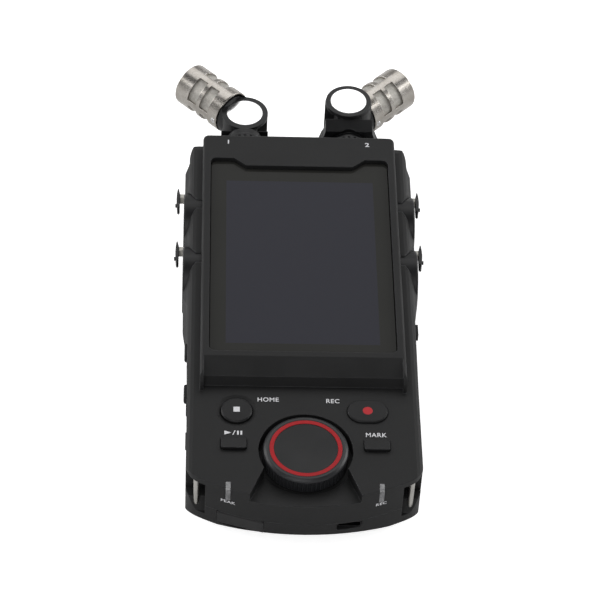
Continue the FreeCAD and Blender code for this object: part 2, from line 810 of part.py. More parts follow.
# ---------------------------------------------------------------- boards
def main_board():
    board = Body("main_board")
    right = [(26.5, -88.5), (26.5, -79.4), (32.6, -79.4), (32.6, -14.0), (16.4, -8.5),
             (16.4, 44.5)]
    board.pad([mirrored(right)], 1.6, 17.4)
    board.pocket([["circle", side * screw_x, low_screw_y, 3.3] for side in SIDES], 3.0, 19.5)
    # x0, x1, y0, y1, z0, z1
    chips = [
        (-9.0, 5.0, -48.0, -34.0, 19.0, 20.2), (12.0, 21.0, -50.0, -41.0, 19.0, 19.9),
        (-8.0, 8.0, -6.0, 8.0, 19.0, 20.4), (-22.0, -14.0, -40.0, -30.0, 19.0, 20.0),
    ]
    return fuse(board.body, *[box(*chip) for chip in chips])


def input_board():
    board = Body("input_board")
    board.pad([rect(-15.5, 15.5, 8.5, 44.0)], 1.2, 3.6)
    # x0, x1, y0, y1, z0, z1
    chips = [
        (-4.0, 4.0, 20.0, 28.0, 4.8, 6.0), (-12.0, -7.0, 30.0, 35.0, 4.8, 5.8),
        (7.0, 12.0, 30.0, 35.0, 4.8, 5.8),
    ]
    return fuse(board.body, *[box(*chip) for chip in chips])


# ---------------------------------------------------------------- battery bay
def aa_cells():
    """Four cells side by side, pointing down and up the case in turn."""
    z = 9.7
    cells = []
    for i, x in enumerate((-21.9, -7.3, 7.3, 21.9)):
        start_y, sign, way = (-66.4, 1, PLUS_Y) if i % 2 else (-15.6, -1, MINUS_Y)
        can = cyl(x, start_y, z, cell_radius, cell_length - 1.4, way)
        nub = cyl(x, start_y + sign * (cell_length.value - 1.5), z, 2.7, 1.5, way)
        cells.append(fuse(can, nub))
    return group(*cells)


def battery_contacts():
    # x0, x1, y0, y1
    plates = [
        (-28.0, -1.0, -68.9, -68.4), (1.0, 28.0, -68.9, -68.4),
        (-28.0, -15.5, -13.6, -13.1), (-14.0, 14.0, -13.6, -13.1), (15.5, 28.0, -13.6, -13.1),
    ]
    return group(*[box(*plate, 5.0, 14.0) for plate in plates])


def battery_door():
    clearance = 0.15
    half = bay_half - clearance
    door = Body("battery_door")
    door.pad([rect(-half, half, bay_low + clearance, bay_high - clearance)], 1.8)
    door.dress("Fillet", bay_corner - clearance, vertical)
    grips = [rect(-7.0, 7.0, y - 0.5, y + 0.5) for y in (-60.0, -58.0, -56.0)]
    door.pocket(grips, 0.7, offset=-0.01, reverse=True)
    door.dress("Chamfer", 0.3, lambda edge: within(edge, z=0.0) and edge.Length > 20)
    return door.body


# ---------------------------------------------------------------- tripod insert, screws, speaker
def tripod_insert():
    insert = Body("tripod_insert")
    insert.turn([(3.175, 0.0), (4.7, 0.0), (4.7, 6.5), (5.6, 6.5), (5.6, 7.9), (3.175, 7.9)])
    return fuse(insert.body, cyl(0.0, 0.0, 7.9, 5.6, 0.9))


def case_screws():
    screws = []
    for x, y in screw_places:
        screws.append(cut(
            fuse(cyl(x, y, 0.5, 2.3, 1.5), cyl(x, y, 1.9, 1.2, 11.0)),
            box(x - 1.5, x + 1.5, y - 0.25, y + 0.25, 0.0, 1.1),
            box(x - 0.25, x + 0.25, y - 1.5, y + 1.5, 0.0, 1.1)))
    return group(*screws)


def loudspeaker():
    speaker = Body("loudspeaker")
    speaker.turn([(0.0, 3.6), (2.0, 3.6), (5.6, 2.9), (6.5, 2.9), (6.5, 2.5), (7.0, 2.5),
                  (7.0, 4.4), (4.6, 5.4), (4.6, 7.0), (0.0, 7.0)])
    return speaker.at(0.0, speaker_y, 0.0)


# ---------------------------------------------------------------- input jacks
def jack_shell(side, y):
    way = OUTWARD[side]
    shell = cyl(side * 28.0, y, jack_z, jack_radius, 10.6, way)
    shell = rounded(shell, 0.6, lambda edge: within(edge, x=side * 38.6))
    return cut(shell, cyl(side * 27.0, y, jack_z, groove_radius, 13.0, way))


def jack_core(side, y):
    """Core with a flange and a rear barrel, bored for the large plug and for three contacts."""
    way = OUTWARD[side]
    core = fuse(cyl(side * 27.3, y, jack_z, jack_radius - 0.3, 0.7, way),
                cyl(side * 17.4, y, jack_z, 9.2, 10.0, way),
                cyl(side * 27.9, y, jack_z, core_radius, 9.6, way))
    core = rounded(core, 0.5, lambda edge: within(edge, x=side * 37.5))
    contact_circle = 5.5
    bores = [cyl(side * 19.4, y, jack_z, bore_radius, 19.0, way)]
    for degrees in (90.0, 210.0, 330.0):
        angle = math.radians(degrees)
        bores.append(cyl(side * 30.5, y + contact_circle * math.cos(angle),
                         jack_z + contact_circle * math.sin(angle), 1.15, 10.0, way))
    return cut(core, *bores)


def release_lever(side, jack_y):
    """A pinned hub in the case wall, a stalk through the slot and a tapering tab beside it."""
    way = OUTWARD[side]
    y = jack_y.value + lever_offset
    hub = cyl(side * lever_x, y, 17.15, 1.1, 3.1)
    stalk = side_box(side, lever_x, 40.2, y - 0.8, y + 0.8, 17.2, 20.2)
    # distance from the middle, y from the lever axis
    tab_points = [(40.0, -5.2), (40.5, -5.9), (40.9, -5.2), (41.15, -1.6), (41.05, 0.8),
                  (40.75, 3.4), (40.55, 3.4), (40.0, 0.8)]
    tab = extrude("XY", [(side * dx, y + dy) for dx, dy in tab_points], 16.9, 20.5)
    tab = common(tab, cyl(side * 38.0, y - 1.3, lever_z, 4.75, 6.0, way))
    dot = cyl(side * 40.8, y - 3.3, lever_z, 0.65, 0.75, way)
    return cut(fuse(hub, stalk, tab, dot), cyl(side * lever_x, y, 16.0, 0.57, 6.0))


def lever_pins():
    return group(*[cyl(side * lever_x, y + lever_offset, 17.0, 0.51, 5.1)
                   for side in SIDES for y in JACK_ROWS])


# ---------------------------------------------------------------- small sockets, port, card
def mini_socket(y):
    """Socket in the left side; its bore takes a 3.5 mm plug."""
    z = mini_socket_z
    socket = fuse(cyl(-36.7, y, z, 2.75, 6.0, PLUS_X),
                  box(-33.4, -21.4, y - 2.95, y + 2.95, z - 2.8, z + 2.8))
    return cut(socket, cyl(-37.0, y, z, 1.8, 14.3, PLUS_X))


def usb_port():
    """Port shell in the lower end, with its tongue."""
    def lengthwise(edge):
        return edge.BoundBox.YLength > 5

    outer = rounded(box(usb_x - 3.75, usb_x + 3.75, usb_y + 0.8, usb_y + 7.0, 13.95, 16.55),
                    0.7, lengthwise)
    inner = rounded(box(usb_x - 3.45, usb_x + 3.45, usb_y, usb_y + 6.0, 14.2, 16.3),
                    0.55, lengthwise)
    tongue = box(usb_x - 2.6, usb_x + 2.6, usb_y + 1.5, usb_y + 7.5, 15.3, 15.95)
    return cut(outer, cut(inner, tongue))


def card_socket():
    return cut(card_box(-7.0, 7.0, 6.4, 16.6, 12.2, 15.6),
               card_box(-5.8, 5.8, 5.0, 15.6, 13.2, 14.4))


def card_door():
    """Leaf with a rounded hinge edge at the bottom, turned to the curve of the end."""
    hinge_z = 12.1
    path = [(0.15, hinge_z, 0.5501, -1), (0.15, 16.3), (0.4, 16.85), (1.25, 16.85),
            (1.25, hinge_z)]
    leaf = extrude("YZ", path, -7.4, 7.4)
    leaf = rounded(leaf, 0.9, lambda edge: (
        within(edge, z=(16.3, 16.85))
        and edge.BoundBox.XLength < 0.01 and edge.BoundBox.ZLength < 0.01))
    leaf.Placement = FreeCAD.Placement(Vector(card_x, card_y, 0.0), CARD_TURN)
    return leaf


# ---------------------------------------------------------------- light pipes and strap bars
def light_pipe(side):
    """An angled strip over the deck's lower edge: (y, z)."""
    path = [(-90.2, deck_z + 0.06), (pipe_y + 0.35, deck_z + 0.06), (pipe_y - 0.2, deck_z - 0.5),
            (pipe_y - 0.2, 23.7), (pipe_y + 1.35, 23.7), (pipe_y + 1.35, deck_z - 1.2),
            (-90.2, deck_z - 1.2)]
    return extrude("YZ", path, side * pipe_x - 0.75, side * pipe_x + 0.75)


def strap_bars():
    return group(*[cyl(side * strap_x, strap_y, 13.0, 0.9, 15.0) for side in SIDES])


# ---------------------------------------------------------------- keys
flange_z = 25.9                          # underside of the deck keys
flange_top = 26.5


def home_button():
    button = Body("home_button")
    button.turn([(0.0, flange_z), (5.8, flange_z), (5.8, flange_top), (4.9, flange_top),
                 (4.9, 29.15), (4.5, 29.5), (0.0, 29.62)])
    return button.at(*home_at, 0.0)


def record_button():
    top = 29.7
    button = fuse(pill(record_at, 7.2, 5.4, flange_z, flange_top),
                  pill(record_at, 6.35, 4.55, flange_top, top))
    return rounded(button, 0.5, lambda edge: within(edge, z=top))


def wedge_key(x, y):
    """A key whose top rises towards the lower end."""
    base = box(x - 4.8, x + 4.8, y - 3.2, y + 3.2, flange_z, flange_top)
    path = [(y - 2.35, flange_top), (y + 2.35, flange_top), (y + 2.35, 29.3), (y - 2.35, 30.1)]
    top = extrude("YZ", path, x - 3.95, x + 3.95)
    top = rounded(top, 0.7, lambda edge: (
        edge.BoundBox.ZLength > 2
        and edge.BoundBox.XLength < 0.01 and edge.BoundBox.YLength < 0.01))
    return fuse(base, top)


def tact_switches():
    floor = 19.1
    switches = []
    for x, y in (home_at, record_at, play_at, mark_at):
        switches.append(fuse(box(x - 3.0, x + 3.0, y - 3.0, y + 3.0, floor, 22.6),
                             cyl(x, y, 22.6, 1.7, 2.45)))
    for y in volume_ys:
        switches.append(fuse(box(-31.6, -28.2, y - 3.0, y + 3.0, floor, 22.5),
                             cyl(-33.6, y, 20.5, 1.2, 2.1, PLUS_X)))
    switches.append(box(30.4, 33.9, slider_y - 4.5, slider_y + 4.5, floor, 22.2))
    return group(*switches)


def volume_button(y):
    outer_x = -37.5
    button = fuse(box(outer_x, -35.4, y - 2.6, y + 2.6, 17.65, 20.95),
                  box(-35.4, -34.9, y - 2.6, y + 2.6, 17.65, 20.95))
    return rounded(button, 0.6, lambda edge: within(edge, x=outer_x))


def power_hold_switch():
    slider = box(34.9, 38.2, slider_y - 2.2, slider_y + 2.2, 18.05, 20.95)
    grooves = []
    for i in range(-2, 3):
        y = slider_y + i * 0.75
        grooves.append(box(37.7, 39.0, y - 0.22, y + 0.22, 17.0, 22.0))
    return cut(slider, *grooves)


# ---------------------------------------------------------------- dial
def dial_knob():
    knob = Body("dial_knob")
    knob.turn([
        (3.05, 24.75), (dial_radius - 0.25, 24.75), (dial_radius, 25.0), (dial_radius, 29.2),
        (dial_radius - 0.3, 29.7), (dial_radius - 1.0, dial_top),
        # seat of the coloured ring
        (ring_outer + 0.05, dial_top), (ring_outer + 0.05, dial_top - 0.5),
        (ring_inner - 0.05, dial_top - 0.5), (ring_inner - 0.05, dial_top - 0.1),
        # dished middle and the shaft bore below it
        (0.0, dial_top - 0.35), (0.0, 28.4), (3.05, 28.4),
    ])
    flute = rect(dial_radius - 0.28, dial_radius + 0.4, -0.26, 0.26)
    knob.flutes("Pocket_flute", flute, start=24.0, length=5.0, count=60)
    return knob.at(dial_x, -dial_y, 0.0)


def dial_piece(label, path):
    """A turned piece on the dial's axis."""
    piece = Body(label)
    piece.turn(path)
    return piece.at(dial_x, -dial_y, 0.0)


def dial_ring():
    return dial_piece("dial_ring", rect(ring_inner, ring_outer, dial_top - 0.45, dial_top + 0.02))


def encoder_shaft():
    return dial_piece("encoder_shaft", [(0.0, 20.9), (3.0, 20.9), (3.0, 28.0), (2.6, 28.35),
                                        (0.0, 28.35)])


def encoder_plunger():
    return dial_piece("encoder_plunger", rect(3.06, 4.5, 21.0, 24.1))


def encoder_body():
    return cut(box(dial_x - 6.0, dial_x + 6.0, -dial_y - 6.0, -dial_y + 6.0, 19.1, 24.0),
               cyl(dial_x, -dial_y, 20.2, 4.57, 8.0))


# ---------------------------------------------------------------- microphones
# Each unit is drawn about its plug axis: local +Y away from the case, local +Z towards the tall
# face, the capsule pointing 45 degrees outward (local +X and +Y). The left unit is the same unit
# turned over about the plug axis.
FLIP = FreeCAD.Rotation(Vector(0, 1, 0), 180)
ALONG_CAPSULE = FreeCAD.Rotation(Vector(0, 0, 1), -45).multiply(PLUS_Y)


def seat(side, obj):
    """Put a piece of a unit in its place on the case."""
    return place(obj, side * mic_x, 0.0, mic_z, FLIP if side < 0 else FreeCAD.Rotation())


def capsule_point(distance):
    """The point at a distance from the swivel axis along the capsule's axis."""
    step = distance * math.sqrt(0.5)
    return step, hub_y.value + step


def along(start, end, radius):
    """A cylinder along the capsule's axis, measured from the swivel axis."""
    x, y = capsule_point(start)
    return cyl(x, y, 0.0, radius, end - start, ALONG_CAPSULE)


def fan(start, end, radius, z0, z1):
    """A wedge about the swivel axis between two bearings measured from +Y towards +X."""
    steps = 6
    points = [(0.0, hub_y.value)]
    for i in range(steps + 1):
        bearing = math.radians(start + (end - start) * i / steps)
        points.append((radius * math.sin(bearing), hub_y.value + radius * math.cos(bearing)))
    return extrude("XY", points, z0, z1)


def mic_socket():
    """Socket fixed in the case's top end."""
    return cut(fuse(cyl(0.0, 47.0, 0.0, 8.1, 14.2, PLUS_Y), cyl(0.0, 61.0, 0.0, 5.8, 3.8, PLUS_Y)),
               cyl(0.0, 49.0, 0.0, 4.1, 20.0, PLUS_Y))


def mic_plug():
    """A sleeve with three pins in its mouth."""
    pin_circle = 2.0
    sleeve = cut(cyl(0.0, 50.6, 0.0, 4.0, 20.6, PLUS_Y), cyl(0.0, 50.0, 0.0, 3.2, 6.0, PLUS_Y))
    pins = []
    for degrees in (30, 150, 270):
        angle = math.radians(degrees)
        pins.append(cyl(pin_circle * math.cos(angle), 51.6, pin_circle * math.sin(angle),
                        0.4, 5.4, PLUS_Y))
    return fuse(sleeve, *pins)


def lock_ring(side, side_name):
    """Turned up about Z, then laid along the plug axis."""
    ring = Body("lock_ring_" + side_name)
    ring.turn([
        (4.08, 2.6), (6.0, 2.6), (6.0, 0.0), (lock_radius - 0.5, 0.0), (lock_radius, 0.5),
        (lock_radius, 6.8), (lock_radius - 0.5, 7.3), (lock_radius - 0.9, 7.3),
        (lock_radius - 0.9, 8.3), (4.08, 8.3),
    ])
    grip = rect(lock_radius - 0.3, lock_radius + 0.4, -0.45, 0.45)
    ring.flutes("Pocket_grip_" + side_name, grip, start=0.9, length=5.4, count=24)
    return ring.at(side * mic_x, 62.6, mic_z, PLUS_Y)


def mic_hood():
    """The base's skirt, flared towards the case and hollowed around the hub."""
    plan_view = [(-11.2, 71.3), (11.2, 71.3), (11.0, 72.6), (9.0, 76.2), (8.1, 79.0),
                 (-8.1, 79.0), (-9.0, 76.2), (-11.0, 72.6)]
    skirt = extrude("XY", plan_view, -5.6, 9.4)
    skirt = rounded(skirt, 0.8, lambda edge: vertical(edge) and edge.BoundBox.YMin < 77)
    # right half of the view along Y: (x, z)
    flare = [(8.1, 9.41), (8.2, 6.8), (8.7, 4.8), (9.5, 3.2), (10.5, 1.8), (11.2, 0.9),
             (11.2, 0.3), (8.1, 0.3), (8.1, -5.6)]
    bell = common(skirt, extrude("XZ", mirrored(flare), 70.0, 81.0))
    return bell


def mic_base():
    """Skirted neck with the part of the hub's drum that faces the case."""
    bell = mic_hood()
    top_cut = extrude("YZ", [(71.0, 7.4), (75.4, 9.41), (75.4, 12.0), (71.0, 12.0)], -15.0, 15.0)
    drum = common(cyl(0.0, hub_y, -2.9, hub_radius, 12.3), fan(150.6, 209.4, 12.0, -2.9, 9.4))
    low_path = [(70.5, -8.0), (70.5, -3.9), (75.35, 1.15), (75.35, -2.9), (81.0, -2.9),
                (81.0, -8.0)]
    low_cut = extrude("YZ", low_path, -15.0, 15.0)
    hood = cut(bell, top_cut, low_cut, cyl(0.0, 70.0, 0.0, 7.9, 2.2, PLUS_Y))
    # near the hub only what lies inside its radius stays, and nothing beyond y = 76.4
    hood = cut(hood, cut(box(-14.0, 14.0, 75.6, 81.0, -10.0, 12.0),
                         cyl(0.0, hub_y, -9.0, hub_radius, 20.0)))
    hood = cut(hood, box(-14.0, 14.0, 76.4, 84.0, -10.0, 12.0))
    base = cut(fuse(hood, drum), cyl(0.0, hub_y, -10.0, 4.9, 25.0))
    return fuse(base, cyl(0.0, 71.3, 0.0, 6.2, 2.3, PLUS_Y))


def mic_hub():
    """Faces, drum sector and capsule collar in one moulding."""
    tall_disc = cone(0.0, hub_y, 9.55, hub_radius, hub_radius - 0.25, hub_tall - 9.55)
    short_disc = cyl(0.0, hub_y, -hub_short, hub_radius_short, hub_short - 3.05)
    drum = cut(cyl(0.0, hub_y, -3.1, hub_radius, 12.7), fan(150.0, 275.0, 30.0, -3.05, 9.55))
    post = cyl(0.0, hub_y, -3.5, 4.75, 13.5)
    collar = cut(along(1.6, tube_start - 0.35, 7.35),
                 cyl(0.0, hub_y, -12.0, 8.02, 12.0 - hub_short),
                 cyl(0.0, hub_y, hub_tall, 7.0, 5.0))
    collar = cut(collar, fan(150.0, 275.0, 30.0, -9.0, 9.55))
    neck = along(tube_start - 0.37, tube_start + 2.0, 6.4)
    tube_space = along(tube_start - 0.12, tube_start + 12.0, 8.3)
    hub = fuse(cut(fuse(tall_disc, short_disc, drum, post, collar), tube_space), neck)
    return cut(hub, cyl(0.0, hub_y, hub_tall - 0.25, 6.3, 1.0),
               cyl(0.0, hub_y, -hub_short - 0.75, 6.3, 1.0))


def mirror_caps():
    """Thin discs let into both faces of the hub."""
    return group(cyl(0.0, hub_y, hub_tall - 0.25, 6.2, 0.27),
                 cyl(0.0, hub_y, -hub_short - 0.02, 6.2, 0.27))


def tube_window(start, middle):
    """A wedge through the tube wall: start along the capsule's axis, middle angle around it."""
    half_angle = 35.5
    reach = 11.0
    steps = 5
    points = [(0.0, 0.0)]
    for i in range(steps + 1):
        angle = math.radians(middle - half_angle + 2 * half_angle * i / steps)
        points.append((reach * math.cos(angle), reach * math.sin(angle)))
    window = extrude("XY", points, 0.0, 4.1)
    x, y = capsule_point(start)
    window.Placement = FreeCAD.Placement(Vector(x, y, 0.0), ALONG_CAPSULE)
    return window


def capsule_tube():
    """Capsule tube with two rows of four windows."""
    tube = cut(along(tube_start, tube_end, tube_radius),
               along(tube_start - 1.0, tube_end + 1.0, tube_radius - 0.62))
    tube = rounded(tube, 0.3, lambda edge: full_circle(edge, tube_radius.value))
    windows = [tube_window(start, 45.0 + 90.0 * i) for start in (11.1, 16.9) for i in range(4)]
    return cut(tube, *windows)


def wire_mesh():
    """Mesh cup behind the windows."""
    return cut(along(tube_start + 2.1, tube_end - 0.6, tube_radius - 0.66),
               along(tube_start + 2.0, tube_end - 1.0, tube_radius - 1.1))


def mic_capsule():
    radius = 6.0
    capsule = along(tube_start + 2.4, tube_end - 4.0, radius)
    return rounded(capsule, 0.8, lambda edge: full_circle(edge, radius))


# ---------------------------------------------------------------- all pieces
node("front_shell", front_shell())
node("rear_shell", rear_shell())
node("touch_glass", touch_glass())
node("display_module", display_module())
node("main_board", main_board())
node("input_board", input_board())
node("aa_cells", aa_cells())
node("battery_contacts", battery_contacts())
node("battery_door", battery_door())
node("tripod_insert", tripod_insert())
node("case_screws", case_screws())
node("loudspeaker", loudspeaker())

SIDE_NAMES = ((-1, "left"), (1, "right"))
for side, side_name in SIDE_NAMES:
    node(side_name + "_input_jacks", group(*[jack_shell(side, y) for y in JACK_ROWS]))
node("jack_cores", group(*[jack_core(side, y) for side in SIDES for y in JACK_ROWS]))
for side, side_name in SIDE_NAMES:
    node("release_lever_%s_upper" % side_name, release_lever(side, jack_y_upper))
    node("release_lever_%s_lower" % side_name, release_lever(side, jack_y_lower))
node("lever_pins", lever_pins())
node("phones_socket", mini_socket(phones_y))
node("line_out_socket", mini_socket(line_out_y))
node("usb_port", usb_port())
node("card_socket", card_socket())
node("memory_card", card_box(-5.5, 5.5, 2.4, 15.2, 13.4, 14.2))
node("card_door", card_door())
node("peak_light_pipe", light_pipe(-1))
node("rec_light_pipe", light_pipe(1))
node("strap_bars", strap_bars())

node("home_button", home_button())
node("record_button", record_button())
node("play_pause_key", wedge_key(*play_at))
node("mark_key", wedge_key(*mark_at))
node("tact_switches", tact_switches())
node("volume_up_button", volume_button(volume_ys[0]))
node("volume_down_button", volume_button(volume_ys[1]))
node("power_hold_switch", power_hold_switch())

node("dial_knob", dial_knob())
node("dial_ring", dial_ring())
node("encoder_shaft", encoder_shaft())
node("encoder_plunger", encoder_plunger())
node("encoder_body", encoder_body())

for side, side_name in SIDE_NAMES:
    node("mic_socket_" + side_name, seat(side, mic_socket()))
    node("mic_plug_" + side_name, seat(side, mic_plug()))
    node("lock_ring_" + side_name, lock_ring(side, side_name))
    node("mic_base_" + side_name, seat(side, mic_base()))
    node("mic_hub_" + side_name, seat(side, mic_hub()))
    node("mirror_caps_" + side_name, seat(side, mirror_caps()))
    node("capsule_tube_" + side_name, seat(side, capsule_tube()))
    node("wire_mesh_" + side_name, seat(side, wire_mesh()))
    node("mic_capsule_" + side_name, seat(side, mic_capsule()))

# ---------------------------------------------------------------- check and write
doc.recompute()
failed = [obj.Name + " " + obj.Label for obj in doc.Objects
          if "Invalid" in obj.State or "Error" in obj.State]
if failed:
    raise RuntimeError("failed objects: " + ", ".join(failed))
os.makedirs("parts", exist_ok=True)
for label, obj in nodes.items():
    shape = obj.Shape
    if shape.isNull() or not shape.isValid() or shape.Volume <= 0 or not shape.Solids:
        raise RuntimeError("bad shape: " + label)
    shape.exportStep(os.path.join("parts", label + ".step"))
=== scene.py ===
"""Looks of a portable field recorder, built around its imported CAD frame.

The recorder lies on its back on the floor, display up (+Z). The two microphones are at the
+Y end, and the HOME and REC keys near the -Y end, which faces the camera; +X is to the right.
The frame is in metres. Legends, fittings and the camera are placed in millimetres (see MM).
"""
import json
import math
from functools import cached_property

import bmesh
import bpy
from mathutils import Matrix, Vector


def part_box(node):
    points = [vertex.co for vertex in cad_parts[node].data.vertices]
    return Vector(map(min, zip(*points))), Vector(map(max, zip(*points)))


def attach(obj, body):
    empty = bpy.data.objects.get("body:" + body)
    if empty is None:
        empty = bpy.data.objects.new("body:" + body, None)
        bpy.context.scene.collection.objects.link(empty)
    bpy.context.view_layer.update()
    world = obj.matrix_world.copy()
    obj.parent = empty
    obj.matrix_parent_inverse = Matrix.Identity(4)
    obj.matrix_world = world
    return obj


MM = 0.001
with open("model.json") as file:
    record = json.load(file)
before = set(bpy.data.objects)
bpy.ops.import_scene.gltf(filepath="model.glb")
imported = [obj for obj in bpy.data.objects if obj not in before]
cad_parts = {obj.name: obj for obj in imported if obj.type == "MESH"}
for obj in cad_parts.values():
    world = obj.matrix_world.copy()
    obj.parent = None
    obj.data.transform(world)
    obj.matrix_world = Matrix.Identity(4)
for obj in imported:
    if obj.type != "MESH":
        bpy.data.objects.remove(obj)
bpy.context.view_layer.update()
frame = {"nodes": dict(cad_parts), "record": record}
scene = bpy.context.scene
scene.view_settings.view_transform = "Standard"

# Driving dimensions shared by materials and fittings
DIAL_CENTRE = (0.0004, -0.0773)      # x, y in metres
CAPSULE_ROOT = (18.0, 83.5, 16.5)    # right microphone, mm; the left one is mirrored in x
SIDES = {"left": -1, "right": 1}


# ---------------------------------------------------------------- material helpers
MID = (0.3, 0.7)      # the band where most noise values fall
INNER = (0.35, 0.65)  # a tighter band, for stronger contrast
UNIT = (0.0, 1.0)
FALL = (1.0, 0.0)
WAVE = (-1.0, 1.0)    # range of a sine


def new_node(tree, kind, inputs=None, **settings):
    """Add a shader node; each input, by index or name, takes a socket or a plain value."""
    node = tree.nodes.new("ShaderNode" + kind)
    for key, value in settings.items():
        setattr(node, key, value)
    for key, value in (inputs or {}).items():
        socket = node.inputs[key]
        if isinstance(value, bpy.types.NodeSocket):
            tree.links.new(value, socket)
        elif socket.type == "RGBA":
            socket.default_value = (*value, 1.0)
        else:
            socket.default_value = value
    return node


class Mat:
    """A builder for procedural materials. Coordinates are the frame's, in metres."""

    INPUTS = {"base": "Base Color", "rough": "Roughness", "metal": "Metallic",
              "spec": "Specular IOR Level", "ior": "IOR", "coat": "Coat Weight",
              "coat_rough": "Coat Roughness", "normal": "Normal", "emit": "Emission Color",
              "emit_power": "Emission Strength", "aniso": "Anisotropic", "sheen": "Sheen Weight"}

    def __init__(self, name, **inputs):
        self.material = bpy.data.materials.new(name)
        self.material.use_nodes = True
        self.tree = self.material.node_tree
        self.tree.nodes.clear()
        self.output = self.node("OutputMaterial")
        self.shader = self.node("BsdfPrincipled")
        self.link(self.shader.outputs[0], self.output.inputs[0])
        self.set(**inputs)

    @cached_property
    def co(self):
        return self.node("TexCoord").outputs["Object"]

    def node(self, kind, inputs=None, **settings):
        return new_node(self.tree, kind, inputs, **settings)

    def link(self, source, socket):
        self.tree.links.new(source, socket)

    def set(self, **inputs):
        for key, value in inputs.items():
            socket = self.shader.inputs[self.INPUTS[key]]
            if isinstance(value, bpy.types.NodeSocket):
                self.link(value, socket)
            else:
                socket.default_value = (*value, 1.0) if isinstance(value, tuple) else value
        return self

    def math(self, operation, *values, clamp=False):
        return self.node("Math", dict(enumerate(values)), operation=operation,
                         use_clamp=clamp).outputs[0]

    def add(self, first, second):
        return self.math("ADD", first, second)

    def sub(self, first, second, clamp=False):
        return self.math("SUBTRACT", first, second, clamp=clamp)

    def mul(self, first, second):
        return self.math("MULTIPLY", first, second)

    def length(self, first, second):
        return self.math("SQRT", self.add(self.mul(first, first), self.mul(second, second)))

    def wave(self, value, pitch):
        """Sine of the given pitch in metres."""
        return self.math("SINE", self.mul(value, 2 * math.pi / pitch))

    def vector(self, operation, first, second):
        return self.node("VectorMath", {0: first, 1: second}, operation=operation).outputs[0]

    def dot(self, first, second):
        return self.node("VectorMath", {0: first, 1: second},
                         operation="DOT_PRODUCT").outputs[1]

    def scaled(self, colour, factor):
        return self.node("VectorMath", {0: colour, "Scale": factor},
                         operation="SCALE").outputs[0]

    def split(self):
        return self.node("SeparateXYZ", {0: self.co}).outputs[:3]

    def noise(self, size, detail=2.0, rough=0.5, vec=None, stretch=None):
        """Noise with features of the given size in mm."""
        vec = vec or self.co
        if stretch:
            vec = self.vector("MULTIPLY", vec, stretch)
        return self.node("TexNoise", {"Scale": 1000.0 / size, "Detail": detail,
                                      "Roughness": rough, "Vector": vec}).outputs[0]

    def clouds(self, size):
        """Slow, soft variation."""
        return self.noise(size, detail=4.0, rough=0.6)

    def voronoi(self, size):
        return self.node("TexVoronoi", {"Scale": 1000.0 / size,
                                        "Vector": self.co}).outputs["Distance"]

    def remap(self, value, src=MID, to=UNIT, smooth=False):
        return self.node("MapRange", {0: value, 1: src[0], 2: src[1], 3: to[0], 4: to[1]},
                         interpolation_type="SMOOTHSTEP" if smooth else "LINEAR").outputs[0]

    def mix(self, factor, first, second):
        return self.node("Mix", {0: factor, 6: first, 7: second}, data_type="RGBA").outputs[2]

    def bump(self, height, strength, depth, normal=None):
        """Bump normal; depth in mm."""
        inputs = {"Strength": strength, "Distance": depth * MM, "Height": height}
        if normal is not None:
            inputs["Normal"] = normal
        return self.node("Bump", inputs).outputs[0]

    def bevel(self, radius, samples=6):
        """Normal rounded over the edges; radius in mm."""
        return self.node("Bevel", {"Radius": radius * MM}, samples=samples).outputs[0]

    def edge(self, rounded, src=(0.015, 0.2)):
        """0 on flat faces, 1 on edges, from a bevelled normal."""
        true_normal = self.node("NewGeometry").outputs["Normal"]
        turn = self.sub(1.0, self.dot(rounded, true_normal))
        return self.remap(turn, src=src, smooth=True)

    def apply(self, obj):
        obj.data.materials.clear()
        obj.data.materials.append(self.material)


# ---------------------------------------------------------------- plastics and rubber
def plastic(name, base, rough, spec, grain=0.22, bump=0.35, edge_radius=0.35):
    """Moulded plastic: eroded grain, slow gloss changes, pale specks, polished edges lightened in
    colour, partly as edge wear and partly as painted highlight.
    """
    mat = Mat(name)
    rounded = mat.bevel(edge_radius)
    patches = mat.remap(mat.noise(size=3.0, detail=3.0, rough=0.6),
                        src=(0.35, 0.62), to=(0.35, 1.0))
    edge_wear_and_highlight = mat.mul(mat.edge(rounded), patches)
    fine = mat.noise(size=grain, detail=2.0, rough=0.55)
    height = mat.add(fine, mat.mul(mat.voronoi(size=grain * 1.6), 0.6))
    slow = mat.clouds(size=14.0)
    speck = mat.remap(mat.noise(size=0.6, detail=2.0, rough=0.7),
                      src=(0.62, 0.78), to=(0.0, 0.35))
    colour = mat.scaled(base, mat.remap(slow, to=(0.88, 1.14)))
    colour = mat.mix(speck, colour, tuple(min(1.0, c * 1.9 + 0.004) for c in base))
    # edges lightened in colour: partly edge wear, partly painted highlight
    colour = mat.mix(mat.mul(edge_wear_and_highlight, 0.55), colour, (0.085, 0.087, 0.092))
    gloss = mat.add(mat.remap(slow, to=(rough - 0.05, rough + 0.06)),
                    mat.remap(fine, to=(-0.03, 0.03)))
    return mat.set(base=colour, rough=mat.sub(gloss, mat.mul(edge_wear_and_highlight, 0.12), clamp=True),
                   spec=spec, normal=mat.bump(height, bump, depth=0.02, normal=rounded))


def rubber():
    mat = Mat("rubber_black")
    dust = mat.remap(mat.noise(size=0.5, detail=3.0, rough=0.7), src=(0.55, 0.75), to=(0.0, 0.5))
    grain = mat.noise(size=0.18, detail=3.0, rough=0.6)
    return mat.set(base=mat.mix(dust, (0.013, 0.013, 0.0135), (0.026, 0.026, 0.027)),
                   rough=mat.remap(mat.clouds(size=9.0), to=(0.62, 0.75)), spec=0.3, sheen=0.15,
                   normal=mat.bump(grain, strength=0.4, depth=0.02, normal=mat.bevel(0.3)))


def dial_radius(mat):
    """Distance from the dial's axis, in metres."""
    x, y, _ = mat.split()
    return mat.length(mat.sub(x, DIAL_CENTRE[0]), mat.add(y, -DIAL_CENTRE[1]))


